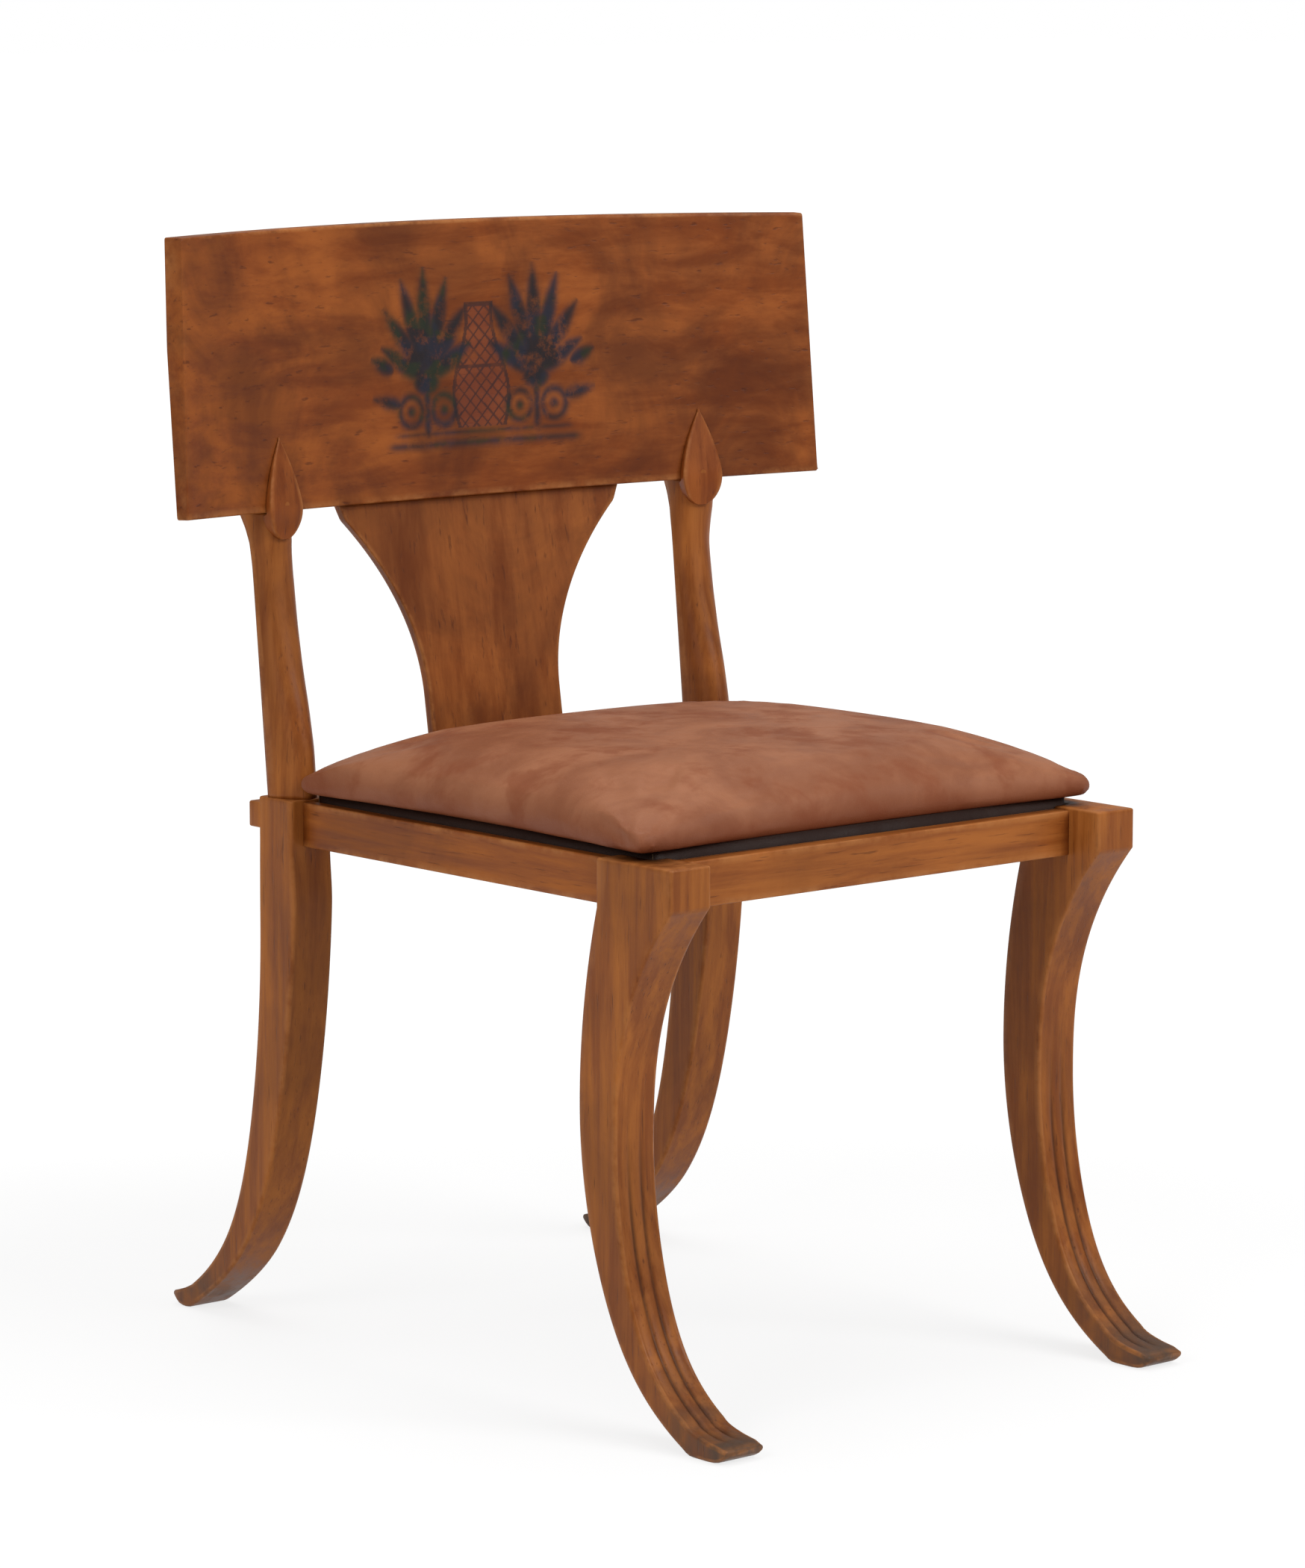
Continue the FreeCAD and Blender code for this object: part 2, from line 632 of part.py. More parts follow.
splatSlab = curvedSlab(size("splat_front"), size("splat_thick"), size("splat_lean"), seatZ, splatTop,
                       size("splat_top_half") + size("splat_thick"), seatZ)
splatBoard = splatSlab.common(splatOutline()).cut(crestOutline(gap, sweepDepth))


def splatTenon(grow):
    half = size("splat_tenon_half") + grow
    deep = size("splat_tenon_deep")
    slab = curvedSlab(size("splat_front") - grow, size("splat_thick") + 2 * grow, size("splat_lean"),
                      seatZ - deep - grow, seatZ + deep, size("splat_top_half"), seatZ)
    room = Part.makeBox(2 * half, 2 * size("crest_front"), deep + grow, vec(-half, 0, seatZ - deep - grow))
    return slab.common(room)


def crestTongue(grow):
    half = size("tongue_half") + grow
    slab = curvedSlab(size("splat_front") + size("tongue_setback") - grow, size("tongue_thick") + 2 * grow,
                      size("splat_lean"), seatZ, tongueTop + grow, size("splat_top_half"), seatZ)
    low = crestLow - 3 * arch
    room = Part.makeBox(2 * half, 2 * size("crest_front"), tongueTop + grow - low, vec(-half, 0, low))
    return slab.common(room)


splatFeet = raw("splat_board", splatBoard)
splatTenonPart = raw("splat_tenon", splatTenon(0))
splatTonguePart = raw("splat_tongue", crestTongue(0))
keep(fuse("splat_whole", [splatFeet, splatTenonPart, splatTonguePart]), "splat")
splatMortise = raw("splat_mortise", splatTenon(gap))
crestGroove = raw("crest_groove", crestTongue(gap))

# Stiles: a round-nosed post that narrows, then forks round the crest

rearX = size("front_leg_centre") - size("rear_leg_inset")
halfStile = size("stile_width") / 2
kneeZ = seatZ + size("stile_knee_rise")
neckZ = crestLow - size("stile_neck_drop")
bellyZ = crestLow + size("leaf_belly_rise")
tipZ = bellyZ + size("leaf_long")
turn = math.asin(rearX / size("crest_radius"))
forkTurn = FreeCAD.Rotation(vec(0, 0, 1), math.degrees(turn))
forkSeat = FreeCAD.Placement(vec(-rearX, crestFrontAt(rearX), 0), forkTurn).toMatrix()


def stileSection(height, back, depth, square, share):
    # flat back and a rounded nose, a superellipse: square is 2 for an ellipse, more for a boxier nose
    # the section turns to face along the crest's curve as share goes from 0 to 1
    half = size("leaf_width") / 2 if square > 3 else halfStile
    nose = []
    for step in range(9):
        a = math.pi * step / 8
        side = math.copysign(abs(math.cos(a)) ** (2 / square), math.cos(a))
        nose.append(vec(half * side, back - depth * abs(math.sin(a)) ** (2 / square), 0))
    nose[4].x = 0
    section = Part.Wire([spline(nose).toShape(), line(nose[-1], nose[0]).toShape()])
    place = FreeCAD.Placement(vec(-rearX, crestFrontAt(rearX), height),
                              FreeCAD.Rotation(vec(0, 0, 1), math.degrees(turn) * share))
    return section.transformed(place.toMatrix(), True)


def stileLoft():
    kneeDepth = size("stile_knee_depth")
    neckDepth = size("stile_neck_depth")
    crestBack = size("crest_thick")
    crestRise = size("crest_lean") * (tipZ - bellyZ)
    # halfway between knee and neck the depth has lost three fifths of its change
    rows = [(seatZ, size("stile_root_depth")), (kneeZ, kneeDepth),
            ((kneeZ + neckZ) / 2, kneeDepth + (neckDepth - kneeDepth) * 0.6), (neckZ, neckDepth)]
    sections = []
    for z, depth in rows:
        back = size("stile_back") + size("stile_lean") * (z - seatZ) - crestFrontAt(rearX)
        sections.append(stileSection(z, back, depth, 2, 0))
    neckBack = back
    bellyBack = crestBack + size("prong_thick")
    bellyDepth = bellyBack + size("leaf_thick")
    tipBack = crestBack + size("prong_tip_thick") + crestRise
    tipDepth = crestBack + size("prong_tip_thick") + size("leaf_tip_thick")
    spread = (bellyZ + neckZ) / 2
    sections.append(stileSection(spread, neckBack + 0.25 * (bellyBack - neckBack),
                                 neckDepth + 0.35 * (bellyDepth - neckDepth), 2.5, 0.7))
    sections.append(stileSection(bellyZ, bellyBack, bellyDepth, 5, 1))
    sections.append(stileSection(tipZ, tipBack, tipDepth, 5, 1))
    post = Part.makeLoft(sections[:-1], True, False)
    prongs = Part.makeLoft(sections[-2:], True, True)
    return post.fuse(prongs)


forkRoom = size("crest_thick") + size("leaf_thick") + size("prong_thick") + size("leaf_width")


def forkOutline():
    # seen from the front the fork is a pointed leaf above its belly
    half = size("leaf_width") / 2 + gap
    shoulder = (bellyZ + tipZ) / 2
    leaf = [line(vec(-half, 0, seatZ), vec(half, 0, seatZ))]
    for side in (-1, 1):
        belly = vec(side * half, 0, bellyZ)
        leaf.append(Part.Arc(belly, vec(side * half * 0.72, 0, shoulder), vec(0, 0, tipZ)))
        leaf.append(line(vec(side * half, 0, bellyZ), vec(side * half, 0, seatZ)))
    face = closedFace(leaf)
    face.translate(vec(0, -forkRoom, 0))
    return face.extrude(vec(0, 2 * forkRoom, 0)).transformed(forkSeat, True)


def stileBlank():
    corner = vec(-rearX - forkRoom, crestFrontAt(rearX) - forkRoom, neckZ)
    head = Part.makeBox(2 * forkRoom, 2 * forkRoom, tipZ + halfStile - neckZ, corner)
    return stileLoft().cut(head.cut(forkOutline()))


def forkPeg(grow):
    # a tapered peg square to the crest, flush with the leaf and the prong
    lean = size("crest_lean") * (bellyZ - crestLow)
    front = lean - size("leaf_thick") - grow
    long = size("crest_thick") + size("leaf_thick") + size("prong_thick") + 2 * grow
    wide = size("peg_radius") + grow
    peg = Part.makeCone(wide, wide - size("peg_taper"), long, vec(0, front, bellyZ), vec(0, 1, 0))
    return peg.transformed(forkSeat, True)


stilePost = raw("stile_post", stileBlank())
stileTenonText = ("rear_leg_inset - front_leg_centre - tenon_thick / 2", "stile_back - stile_tenon_front",
                  "seat_height - stile_tenon_long", "tenon_thick", "stile_tenon_deep", "2 * stile_tenon_long")
stileTenon = box("stile_tenon", *stileTenonText)
grown = ["%s - joint_gap" % t for t in stileTenonText[:3]]
grown += ["%s + 2 * joint_gap" % t for t in stileTenonText[3:]]
stileMortise = box("stile_mortise", *grown)
stileWhole = fuse("stile_whole", [stilePost, stileTenon])
pegHole = raw("peg_hole", forkPeg(gap))
pegHoleRight = mirrored("peg_hole_right", pegHole)

left = keep(cut("stile_left_cut", stileWhole, [crestRoom, pegHole]), "back_stile_left")
keep(mirrored("stile_right", left), "back_stile_right")
pegLeft = keep(raw("peg_left", forkPeg(0)), "fork_peg_left")
keep(mirrored("peg_right", pegLeft), "fork_peg_right")
crestGrooved = cut("crest_grooved", crestBlank, [crestGroove])
crestDrilled = cut("crest_drilled", crestGrooved, [pegHole])
keep(cut("crest_cut", crestDrilled, [pegHoleRight]), "crest_rail")

# Legs and rails, cut for their joints

frontRooms = [recess, frontTenon("front_mortise", 1), sideTenon("side_mortise", 1)]
left = keep(cut("front_leg_cut", frontPlank, frontRooms),
            "front_leg_left")
keep(mirrored("front_leg_mirror", left), "front_leg_right")
left = keep(cut("rear_leg_cut", rearPlank,
                [backTenon("back_mortise", 1), sideTenon("side_mortise_rear", 1), stileMortise]), "rear_leg_left")
keep(mirrored("rear_leg_mirror", left), "rear_leg_right")
keep(cut("front_rail_cut", frontRail, [recess, screwHoles]), "front_rail")
keep(cut("back_rail_cut", backRail, [splatMortise, screwHoles]), "back_rail")
left = keep(cut("side_rail_cut", sideRail, [recess, screwHoles]), "side_rail_left")
keep(mirrored("side_rail_mirror", left), "side_rail_right")

for label, blank in (("corner_block_front", frontBlock), ("corner_block_rear", rearBlock)):
    left = keep(cut(label + "_cut", blank, [screwHoles]), label + "_left")
    keep(mirrored(label + "_mirror", left), label + "_right")
keep(raw("screws", screwSet(0)), "corner_screws")

# Lift-out seat: frame, webbing, deck, padding, leather, dust cloth

ledgeZ = seatZ - size("ledge_drop")
sideGap = size("seat_side_gap")
leather = size("leather_thick")
layer = size("layer_gap")
coverLow = ledgeZ + size("seat_rest_gap")
coverX = innerX + size("ledge_width") - sideGap
coverFront = innerFront - size("ledge_width") + sideGap
coverBack = innerBack - sideGap
frameX = coverX - leather - layer
frameFront = coverFront + leather + layer
frameBack = coverBack - leather - layer
frameLow = coverLow + leather + layer
barWide = size("seat_bar_width")
barThick = size("seat_bar_thick")
frameHigh = frameLow + barThick


def slab(x0, x1, y0, y1, z0, z1):
    return Part.makeBox(x1 - x0, y1 - y0, z1 - z0, vec(x0, y0, z0))


def dowelSet(grow):
    # two dowels at each corner, from the side bars into the front and back bars
    shapes = []
    long = size("dowel_long") + 2 * grow
    first = size("tack_inset") + size("dowel_clear") + size("dowel_radius")
    for side in (-1, 1):
        for y in (frameFront + barWide, frameBack - barWide):
            for place in (0, 1):
                x = side * (frameX - first - place * size("dowel_pitch"))
                start = vec(x, y - long / 2, frameLow + barThick / 2)
                shapes.append(Part.makeCylinder(size("dowel_radius") + grow, long, start, vec(0, 1, 0)))
    return Part.makeCompound(shapes)


def tackPlaces():
    # evenly along each side of the seat, inside the ledge
    inset = size("tack_inset")
    places = []
    for step in range(7):
        share = (step + 0.5) / 7
        x = -coverX + inset + share * 2 * (coverX - inset)
        y = coverFront + inset + share * (coverBack - coverFront - 2 * inset)
        places += [(x, coverFront + inset), (x, coverBack - inset), (-coverX + inset, y), (coverX - inset, y)]
    return places


def tackSet(grow):
    shapes = []
    for x, y in tackPlaces():
        base = vec(x, y, coverLow)
        shank = Part.makeCylinder(size("tack_radius") / 4 + grow, size("tack_long"), base, vec(0, 0, 1))
        if grow:
            shapes.append(shank)
        else:
            head = Part.makeCylinder(size("tack_radius"), size("tack_head_thick"), base, vec(0, 0, -1))
            shapes.append(head.fuse(shank))
    return Part.makeCompound(shapes)


dowelHoles = dowelSet(layer)
tackHoles = tackSet(layer)
bars = {
    "seat_frame_front": slab(-frameX, frameX, frameFront, frameFront + barWide, frameLow, frameHigh),
    "seat_frame_back": slab(-frameX, frameX, frameBack - barWide, frameBack, frameLow, frameHigh),
    "seat_frame_left": slab(-frameX, barWide - frameX, frameFront + barWide, frameBack - barWide,
                            frameLow, frameHigh),
}
bars["seat_frame_right"] = bars["seat_frame_left"].mirror(vec(0, 0, 0), vec(1, 0, 0))
for label, bar in bars.items():
    keep(raw(label + "_bar", bar.cut(dowelHoles).cut(tackHoles)), label)
keep(raw("dowels", dowelSet(0)), "seat_frame_dowels")
keep(raw("tacks", tackSet(0)), "cover_tacks")

webZ = frameHigh + layer
webThick = size("web_thick")
webWide = size("web_width")
webs = []
for step in range(4):
    share = (step + 0.5) / 4
    x = -frameX + share * 2 * frameX
    y = frameFront + share * (frameBack - frameFront)
    webs.append(slab(x - webWide / 2, x + webWide / 2, frameFront + layer, frameBack - layer,
                     webZ, webZ + webThick))
    webs.append(slab(-frameX + layer, frameX - layer, y - webWide / 2, y + webWide / 2,
                     webZ + webThick + layer, webZ + 2 * webThick + layer))
keep(raw("webs", Part.makeCompound(webs)), "seat_webbing")
deckZ = webZ + 2 * (webThick + layer)
deckTop = deckZ + size("deck_thick")
keep(raw("deck", slab(-frameX + layer, frameX - layer, frameFront + layer, frameBack - layer, deckZ, deckTop)),
     "hessian_deck")


def cushionRing(height, tuck, draw):
    # a rounded rectangle whose sides are drawn in between its corners
    halfX = size("cushion_half_width") - tuck
    front = -size("cushion_front") + tuck
    back = size("cushion_back") - tuck
    r = size("cushion_corner") + tuck * 0.15
    k = r * (1 - math.sqrt(0.5))
    sideIn = size("side_draw") * draw
    frontIn = size("front_draw") * draw
    midY = (front + back) / 2
    a = vec(-halfX + r, front, height)
    b = vec(halfX - r, front, height)
    c = vec(halfX, front + r, height)
    d = vec(halfX, back - r, height)
    e = vec(halfX - r, back, height)
    f = vec(-halfX + r, back, height)
    g = vec(-halfX, back - r, height)
    h = vec(-halfX, front + r, height)
    arcs = [
        Part.Arc(a, vec(0, front + frontIn, height), b),
        Part.Arc(b, vec(halfX - k, front + k, height), c),
        Part.Arc(c, vec(halfX - sideIn, midY, height), d),
        Part.Arc(d, vec(halfX - k, back - k, height), e),
        Part.Arc(e, vec(0, back - frontIn, height), f),
        Part.Arc(f, vec(-halfX + k, back - k, height), g),
        Part.Arc(g, vec(-halfX + sideIn, midY, height), h),
        Part.Arc(h, vec(-halfX + k, front + k, height), a),
    ]
    return Part.Wire([arc.toShape() for arc in arcs])


def cushionForm(inset):
    # a foot that flares to the widest line, then rings that draw in as 1 - sqrt(1 - t^3)
    # up to the flat of the crown, t = share of the way up from the widest line
    base = deckTop + layer + inset
    crown = size("cushion_crown")
    stretch = (crown - 2 * inset) / crown
    waist = size("cushion_waist")
    rings = [cushionRing(base, size("cushion_foot_tuck") + inset, 1.5),
             cushionRing(base + size("cushion_lip") * stretch, size("cushion_lip_tuck") + inset, 1.2)]
    for t in (0, 0.35, 0.6, 0.8, 0.93, 1):
        tuck = size("cushion_top_tuck") * (1 - math.sqrt(1 - t ** 3))
        height = (waist + t * (crown - waist)) * stretch
        rings.append(cushionRing(base + height, tuck + inset, 1 - 0.9 * t ** 2))
    return Part.makeLoft(rings, True, True)


skirt = slab(-coverX, coverX, coverFront, coverBack, coverLow, deckTop + leather)
inside = slab(-frameX - layer, frameX + layer, frameFront - layer, frameBack + layer,
              coverLow + leather, deckTop + 2 * leather)
border = size("border_width")
window = slab(-coverX + border, coverX - border, coverFront + border, coverBack - border,
              coverLow - leather, frameLow)
coverShape = cushionForm(0).fuse(skirt).cut(cushionForm(leather)).cut(inside).cut(window).cut(tackHoles)
keep(raw("cover", coverShape), "leather_cover")
# the padding's foot fills the frame's outline down to the deck
foot = slab(-frameX + layer, frameX - layer, frameFront + layer, frameBack - layer,
            deckTop + layer, deckTop + 2 * leather - layer)
keep(raw("padding", cushionForm(leather + size("cover_gap")).fuse(foot)), "seat_padding")
clothTop = frameLow - layer
keep(raw("cloth", slab(-coverX + border + layer, coverX - border - layer, coverFront + border + layer,
                       coverBack - border - layer, clothTop - size("cloth_thick"), clothTop)), "dust_cloth")

doc.recompute()

# Check every object, then write one file for each piece

for obj in doc.Objects:
    if any(flag in obj.State for flag in ("Invalid", "Error")):
        raise RuntimeError("failed object " + obj.Name)
for obj in pieces:
    shape = obj.Shape
    if shape.isNull() or not shape.isValid() or not shape.Solids:
        raise RuntimeError("bad shape " + obj.Label)
    if min(solid.Volume for solid in shape.Solids) <= 0:
        raise RuntimeError("inside-out solid in " + obj.Label)
for obj in pieces:
    obj.Shape.exportStep("parts/%s.step" % obj.Label)
    print(obj.Label, len(obj.Shape.Solids), round(obj.Shape.Volume / 1000, 1))
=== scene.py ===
import bpy, bmesh, math
import numpy as np
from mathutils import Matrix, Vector


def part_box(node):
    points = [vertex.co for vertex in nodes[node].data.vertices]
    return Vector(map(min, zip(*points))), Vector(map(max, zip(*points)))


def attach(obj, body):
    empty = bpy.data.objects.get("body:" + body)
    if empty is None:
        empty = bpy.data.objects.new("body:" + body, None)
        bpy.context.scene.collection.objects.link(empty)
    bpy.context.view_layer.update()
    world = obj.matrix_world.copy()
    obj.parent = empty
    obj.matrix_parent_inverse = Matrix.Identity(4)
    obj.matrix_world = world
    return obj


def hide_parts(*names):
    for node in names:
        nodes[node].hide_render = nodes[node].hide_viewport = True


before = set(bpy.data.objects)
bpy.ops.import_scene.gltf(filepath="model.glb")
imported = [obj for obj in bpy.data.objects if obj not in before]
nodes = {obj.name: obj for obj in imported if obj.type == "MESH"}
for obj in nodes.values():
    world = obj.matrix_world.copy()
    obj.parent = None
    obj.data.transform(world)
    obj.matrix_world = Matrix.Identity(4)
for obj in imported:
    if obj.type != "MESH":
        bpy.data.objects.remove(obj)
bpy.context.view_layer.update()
mm = 0.001
print("frame loaded:", len(nodes), "nodes")


def placed(name, data):
    thing = bpy.data.objects.new(name, data)
    bpy.context.scene.collection.objects.link(thing)
    return thing


def smooth(mesh):
    mesh.polygons.foreach_set("use_smooth", np.ones(len(mesh.polygons), dtype=bool))


def meshFromArrays(name, verts, quads, caps=(), attributes=None):
    # verts in millimetres; quads as rows of four vertex numbers; caps as longer faces
    mesh = bpy.data.meshes.new(name)
    verts = np.asarray(verts, dtype=np.float64).reshape(-1, 3) * mm
    if len(caps):
        faces = np.asarray(quads).tolist() + [list(map(int, cap)) for cap in caps]
        mesh.from_pydata(verts.tolist(), [], faces)
    else:
        count = len(quads)
        mesh.vertices.add(len(verts))
        mesh.vertices.foreach_set("co", verts.astype(np.float32).ravel())
        mesh.loops.add(count * 4)
        mesh.loops.foreach_set("vertex_index", np.asarray(quads, dtype=np.int32).ravel())
        mesh.polygons.add(count)
        mesh.polygons.foreach_set("loop_start", np.arange(0, count * 4, 4, dtype=np.int32))
    mesh.update(calc_edges=True)
    for key, values in (attributes or {}).items():
        layer = mesh.attributes.new(key, "FLOAT", "POINT")
        layer.data.foreach_set("value", np.asarray(values, dtype=np.float32).ravel())
    mesh.validate()
    smooth(mesh)
    return placed(name, mesh)


def gridQuads(i, nextI, j, nextJ, cols):
    # quads between rows i and nextI and columns j and nextJ of a grid of points
    corners = [i * cols + j, i * cols + nextJ, nextI * cols + nextJ, nextI * cols + j]
    return np.stack(corners, axis=-1).reshape(-1, 4)


def tubeQuads(rows, cols):
    # quads between rows of closed loops
    i, j = np.meshgrid(np.arange(rows - 1), np.arange(cols), indexing="ij")
    return gridQuads(i, i + 1, j, (j + 1) % cols, cols)


def tubeCaps(rows, cols):
    last = (rows - 1) * cols
    return [list(range(cols))[::-1], list(range(last, last + cols))]


def outward(piece):
    # merges doubles, then turns every face outwards
    bm = bmesh.new()
    bm.from_mesh(piece.data)
    bmesh.ops.remove_doubles(bm, verts=bm.verts, dist=2e-6)
    bmesh.ops.recalc_face_normals(bm, faces=bm.faces)
    bm.to_mesh(piece.data)
    bm.free()
    piece.data.update()
    return piece


def tube(name, points, attributes=None):
    # points is a rows x cols x 3 array of closed loops, both ends capped
    rows, cols = points.shape[:2]
    return outward(meshFromArrays(name, points, tubeQuads(rows, cols), tubeCaps(rows, cols), attributes))


def joined(name, parts):
    # several closed shells as one piece
    bm = bmesh.new()
    for part in parts:
        bm.from_mesh(part.data)
    mesh = bpy.data.meshes.new(name)
    bm.to_mesh(mesh)
    bm.free()
    smooth(mesh)
    piece = placed(name, mesh)
    for part in parts:
        bpy.data.objects.remove(part, do_unlink=True)
    return piece


def mirrorCopy(name, source):
    # the same piece on the other side of the middle plane, its faces turned round again
    mesh = source.data.copy()
    mesh.name = name
    co = np.empty(len(mesh.vertices) * 3, dtype=np.float32)
    mesh.vertices.foreach_get("co", co)
    co[0::3] *= -1
    mesh.vertices.foreach_set("co", co)
    mesh.flip_normals()
    return placed(name, mesh)


def applied(piece):
    # the mesh with its modifiers worked in
    graph = bpy.context.evaluated_depsgraph_get()
    graph.update()
    mesh = bpy.data.meshes.new_from_object(piece.evaluated_get(graph))
    old = piece.data
    piece.modifiers.clear()
    piece.data = mesh
    bpy.data.meshes.remove(old)
    return piece


def addModifier(piece, kind, **settings):
    modifier = piece.modifiers.new(kind.lower(), kind)
    for key, value in settings.items():
        setattr(modifier, key, value)
    return modifier


def cutAway(piece, low, high):
    # takes a box out of a piece
    lo, hi = np.array(low, float), np.array(high, float)
    corner = np.array([[0, 0], [1, 0], [1, 1], [0, 1]])
    loops = np.zeros((2, 4, 3))
    loops[:, :, 0] = lo[0] + (hi[0] - lo[0]) * corner[:, 0]
    loops[:, :, 1] = lo[1] + (hi[1] - lo[1]) * corner[:, 1]
    loops[0, :, 2] = lo[2]
    loops[1, :, 2] = hi[2]
    cutter = tube("cutter", loops)
    addModifier(piece, "BOOLEAN", object=cutter, operation="DIFFERENCE", solver="EXACT")
    applied(piece)
    bpy.data.objects.remove(cutter, do_unlink=True)
    return piece


def smoothStep(value, low, high):
    # 0 at low, 1 at high, eased at both ends
    t = np.clip((np.asarray(value, dtype=float) - low) / (high - low), 0, 1)
    return t * t * (3 - 2 * t)


def roundedLoop(radius, alongA, alongB):
    # a rounded rectangle in parts, for any half sizes A and B, with alongA and alongB points on its sides:
    # a = flagA * (A - radius) + offA and b = flagB * (B - radius) + offB; edge is 1 on the corner arcs
    flagA, flagB, offA, offB, edge = [], [], [], [], []
    arc = 4
    quarter = np.linspace(0, math.pi / 2, arc)
    corners = ((1, -1), (1, 1), (-1, 1), (-1, -1))
    for turn, (ca, cb) in enumerate(corners):
        angle = quarter + (turn - 1) * math.pi / 2
        flagA += [ca] * arc
        flagB += [cb] * arc
        offA += list(radius * np.cos(angle))
        offB += list(radius * np.sin(angle))
        edge += [1] * arc
        na, nb = corners[(turn + 1) % 4]
        steps = alongB if turn % 2 == 0 else alongA
        share = np.linspace(0, 1, steps + 2)[1:-1]
        flagA += list(ca + (na - ca) * share)
        flagB += list(cb + (nb - cb) * share)
        last = angle[-1]
        offA += [radius * math.cos(last)] * steps
        offB += [radius * math.sin(last)] * steps
        edge += [0] * steps
    return [np.array(part, dtype=float) for part in (flagA, flagB, offA, offB, edge)]


def endRows(radius):
    # how far in from an end, and how much the section shrinks there, for a rounded end
    angle = np.linspace(0, math.pi / 2, 4)
    return radius * (1 - np.sin(angle)), radius * (1 - np.cos(angle))


print("helpers ready")

seatFrame = {
    "top": 438.0,  # top of the leg blocks and back rail
    "railHeight": 35.5,
    "railDrop": 2.0,  # front and side rails below that
    "halfWidth": 229.0,
    "sideThick": 25.0,
    "frontFace": 252.0,
    "frontThick": 30.0,
    "frontHalf": 202.5,  # half lengths, just into the legs
    "backHalf": 201.5,
    "backFace": 177.0,
    "backThick": 42.0,
    "ledgeDrop": 12.0,
    "ledgeWidth": 14.0,
    "edgeRadius": 1.3,
}

s = seatFrame

leg = {
    "halfWidth": 20.0,
    "frontCentre": 222.0,
    "rearCentre": 221.0,
    "edgeRadius": 2.4,
    "topRadius": 1.6,
    "frontBlock": (-284.6, -198.8), "rearBlock": (220.0, 177.0),
    "hornUnder": 406.8,  # the straight block ends a little above this
    "hornLow": (-241, 216, 412), "hornHigh": (-201, 233, 433), "hornRadius": 1.6,
    "cutTop": 500.0,  # the recess is cut from its ledge up to here
    "stations": 110,
    "reedPitch": 12.0,
    "reedDepth": 1.3,
    "reedWidth": 1.7,
    "reedCrown": 0.5,
    "reedsIn": (0.34, 0.6),  # shares of the way down where the reeds fade in and out
    "reedsOut": (0.93, 0.985),
    "toeFrom": 0.72,  # and where the worn toe begins
}

# a leg's two edges from the side, y and z; flare above the waist, sway and kick below it, rows in both parts
edges = {
    "frontShin": {"at": -220.5, "top": 406.8, "waist": 223.0, "foot": 24.0, "rows": (60, 90),
                  "flare": -64.1, "power": 2.5, "sway": -64.4, "kick": -71.5, "hollow": 0.0,
                  "end": ((-304.5, 20.8), (-313, 17.8), (-324, 15.2), (-338, 13), (-345, 11.6))},
    "frontCalf": {"at": -178.6, "top": 400.5, "waist": 248.0, "foot": 3.0, "rows": (40, 120),
                  "flare": -20.2, "power": 2.0, "sway": -83.8, "kick": -42.8, "hollow": 0.0,
                  "end": ((-302, 1.0), (-306, 0.1), (-312, 0), (-326, 0), (-334, 0.6), (-340, 2.6),
                          (-344, 5.5))},
    "rearShin": {"at": 177.0, "top": 403.0, "waist": 403.0, "foot": 3.0, "rows": (1, 160),
                 "flare": 0.0, "power": 2.0, "sway": 77.5, "kick": 69.0, "hollow": 3.5,
                 "end": ((322, 0.9), (326, 0.1), (330, 0), (335, 0.6), (340, 2.6), (344, 5.5))},
    "rearCalf": {"at": 220.7, "top": 403.0, "waist": 338.0, "foot": 20.0, "rows": (20, 120),
                 "flare": -0.7, "power": 2.0, "sway": 60.4, "kick": 75.1, "hollow": 0.0,
                 "end": ((330, 15.6), (338, 13), (345, 11.6))},
}


def edgeLine(e):
    # up from the waist flare * rise^power, down from it sway * t^2 + kick * t^8, then the points of its end
    z = np.linspace(e["top"], e["waist"], e["rows"][0])
    rise = (z - e["waist"]) / max(e["top"] - e["waist"], 1e-9)
    above = np.stack([e["at"] + e["flare"] * rise ** e["power"], z], axis=-1)
    z = np.linspace(e["waist"], e["foot"], e["rows"][1])[1:]
    t = (e["waist"] - z) / e["waist"]
    hollow = e["hollow"] * smoothStep(z, 400, 350) * smoothStep(z, 0, 60)
    y = e["at"] + (e["sway"] * t ** 2 + e["kick"] * t ** 8) - hollow
    return np.concatenate([above, np.stack([y, z], axis=-1), e["end"]])


def evenAlong(line, count):
    # points spaced evenly along a line of (y, z) points
    step = np.hypot(*np.diff(line, axis=0).T)
    length = np.concatenate([[0], np.cumsum(step)])
    want = np.linspace(0, 1, count) * length[-1]
    return np.stack([np.interp(want, length, line[:, k]) for k in (0, 1)], axis=-1)


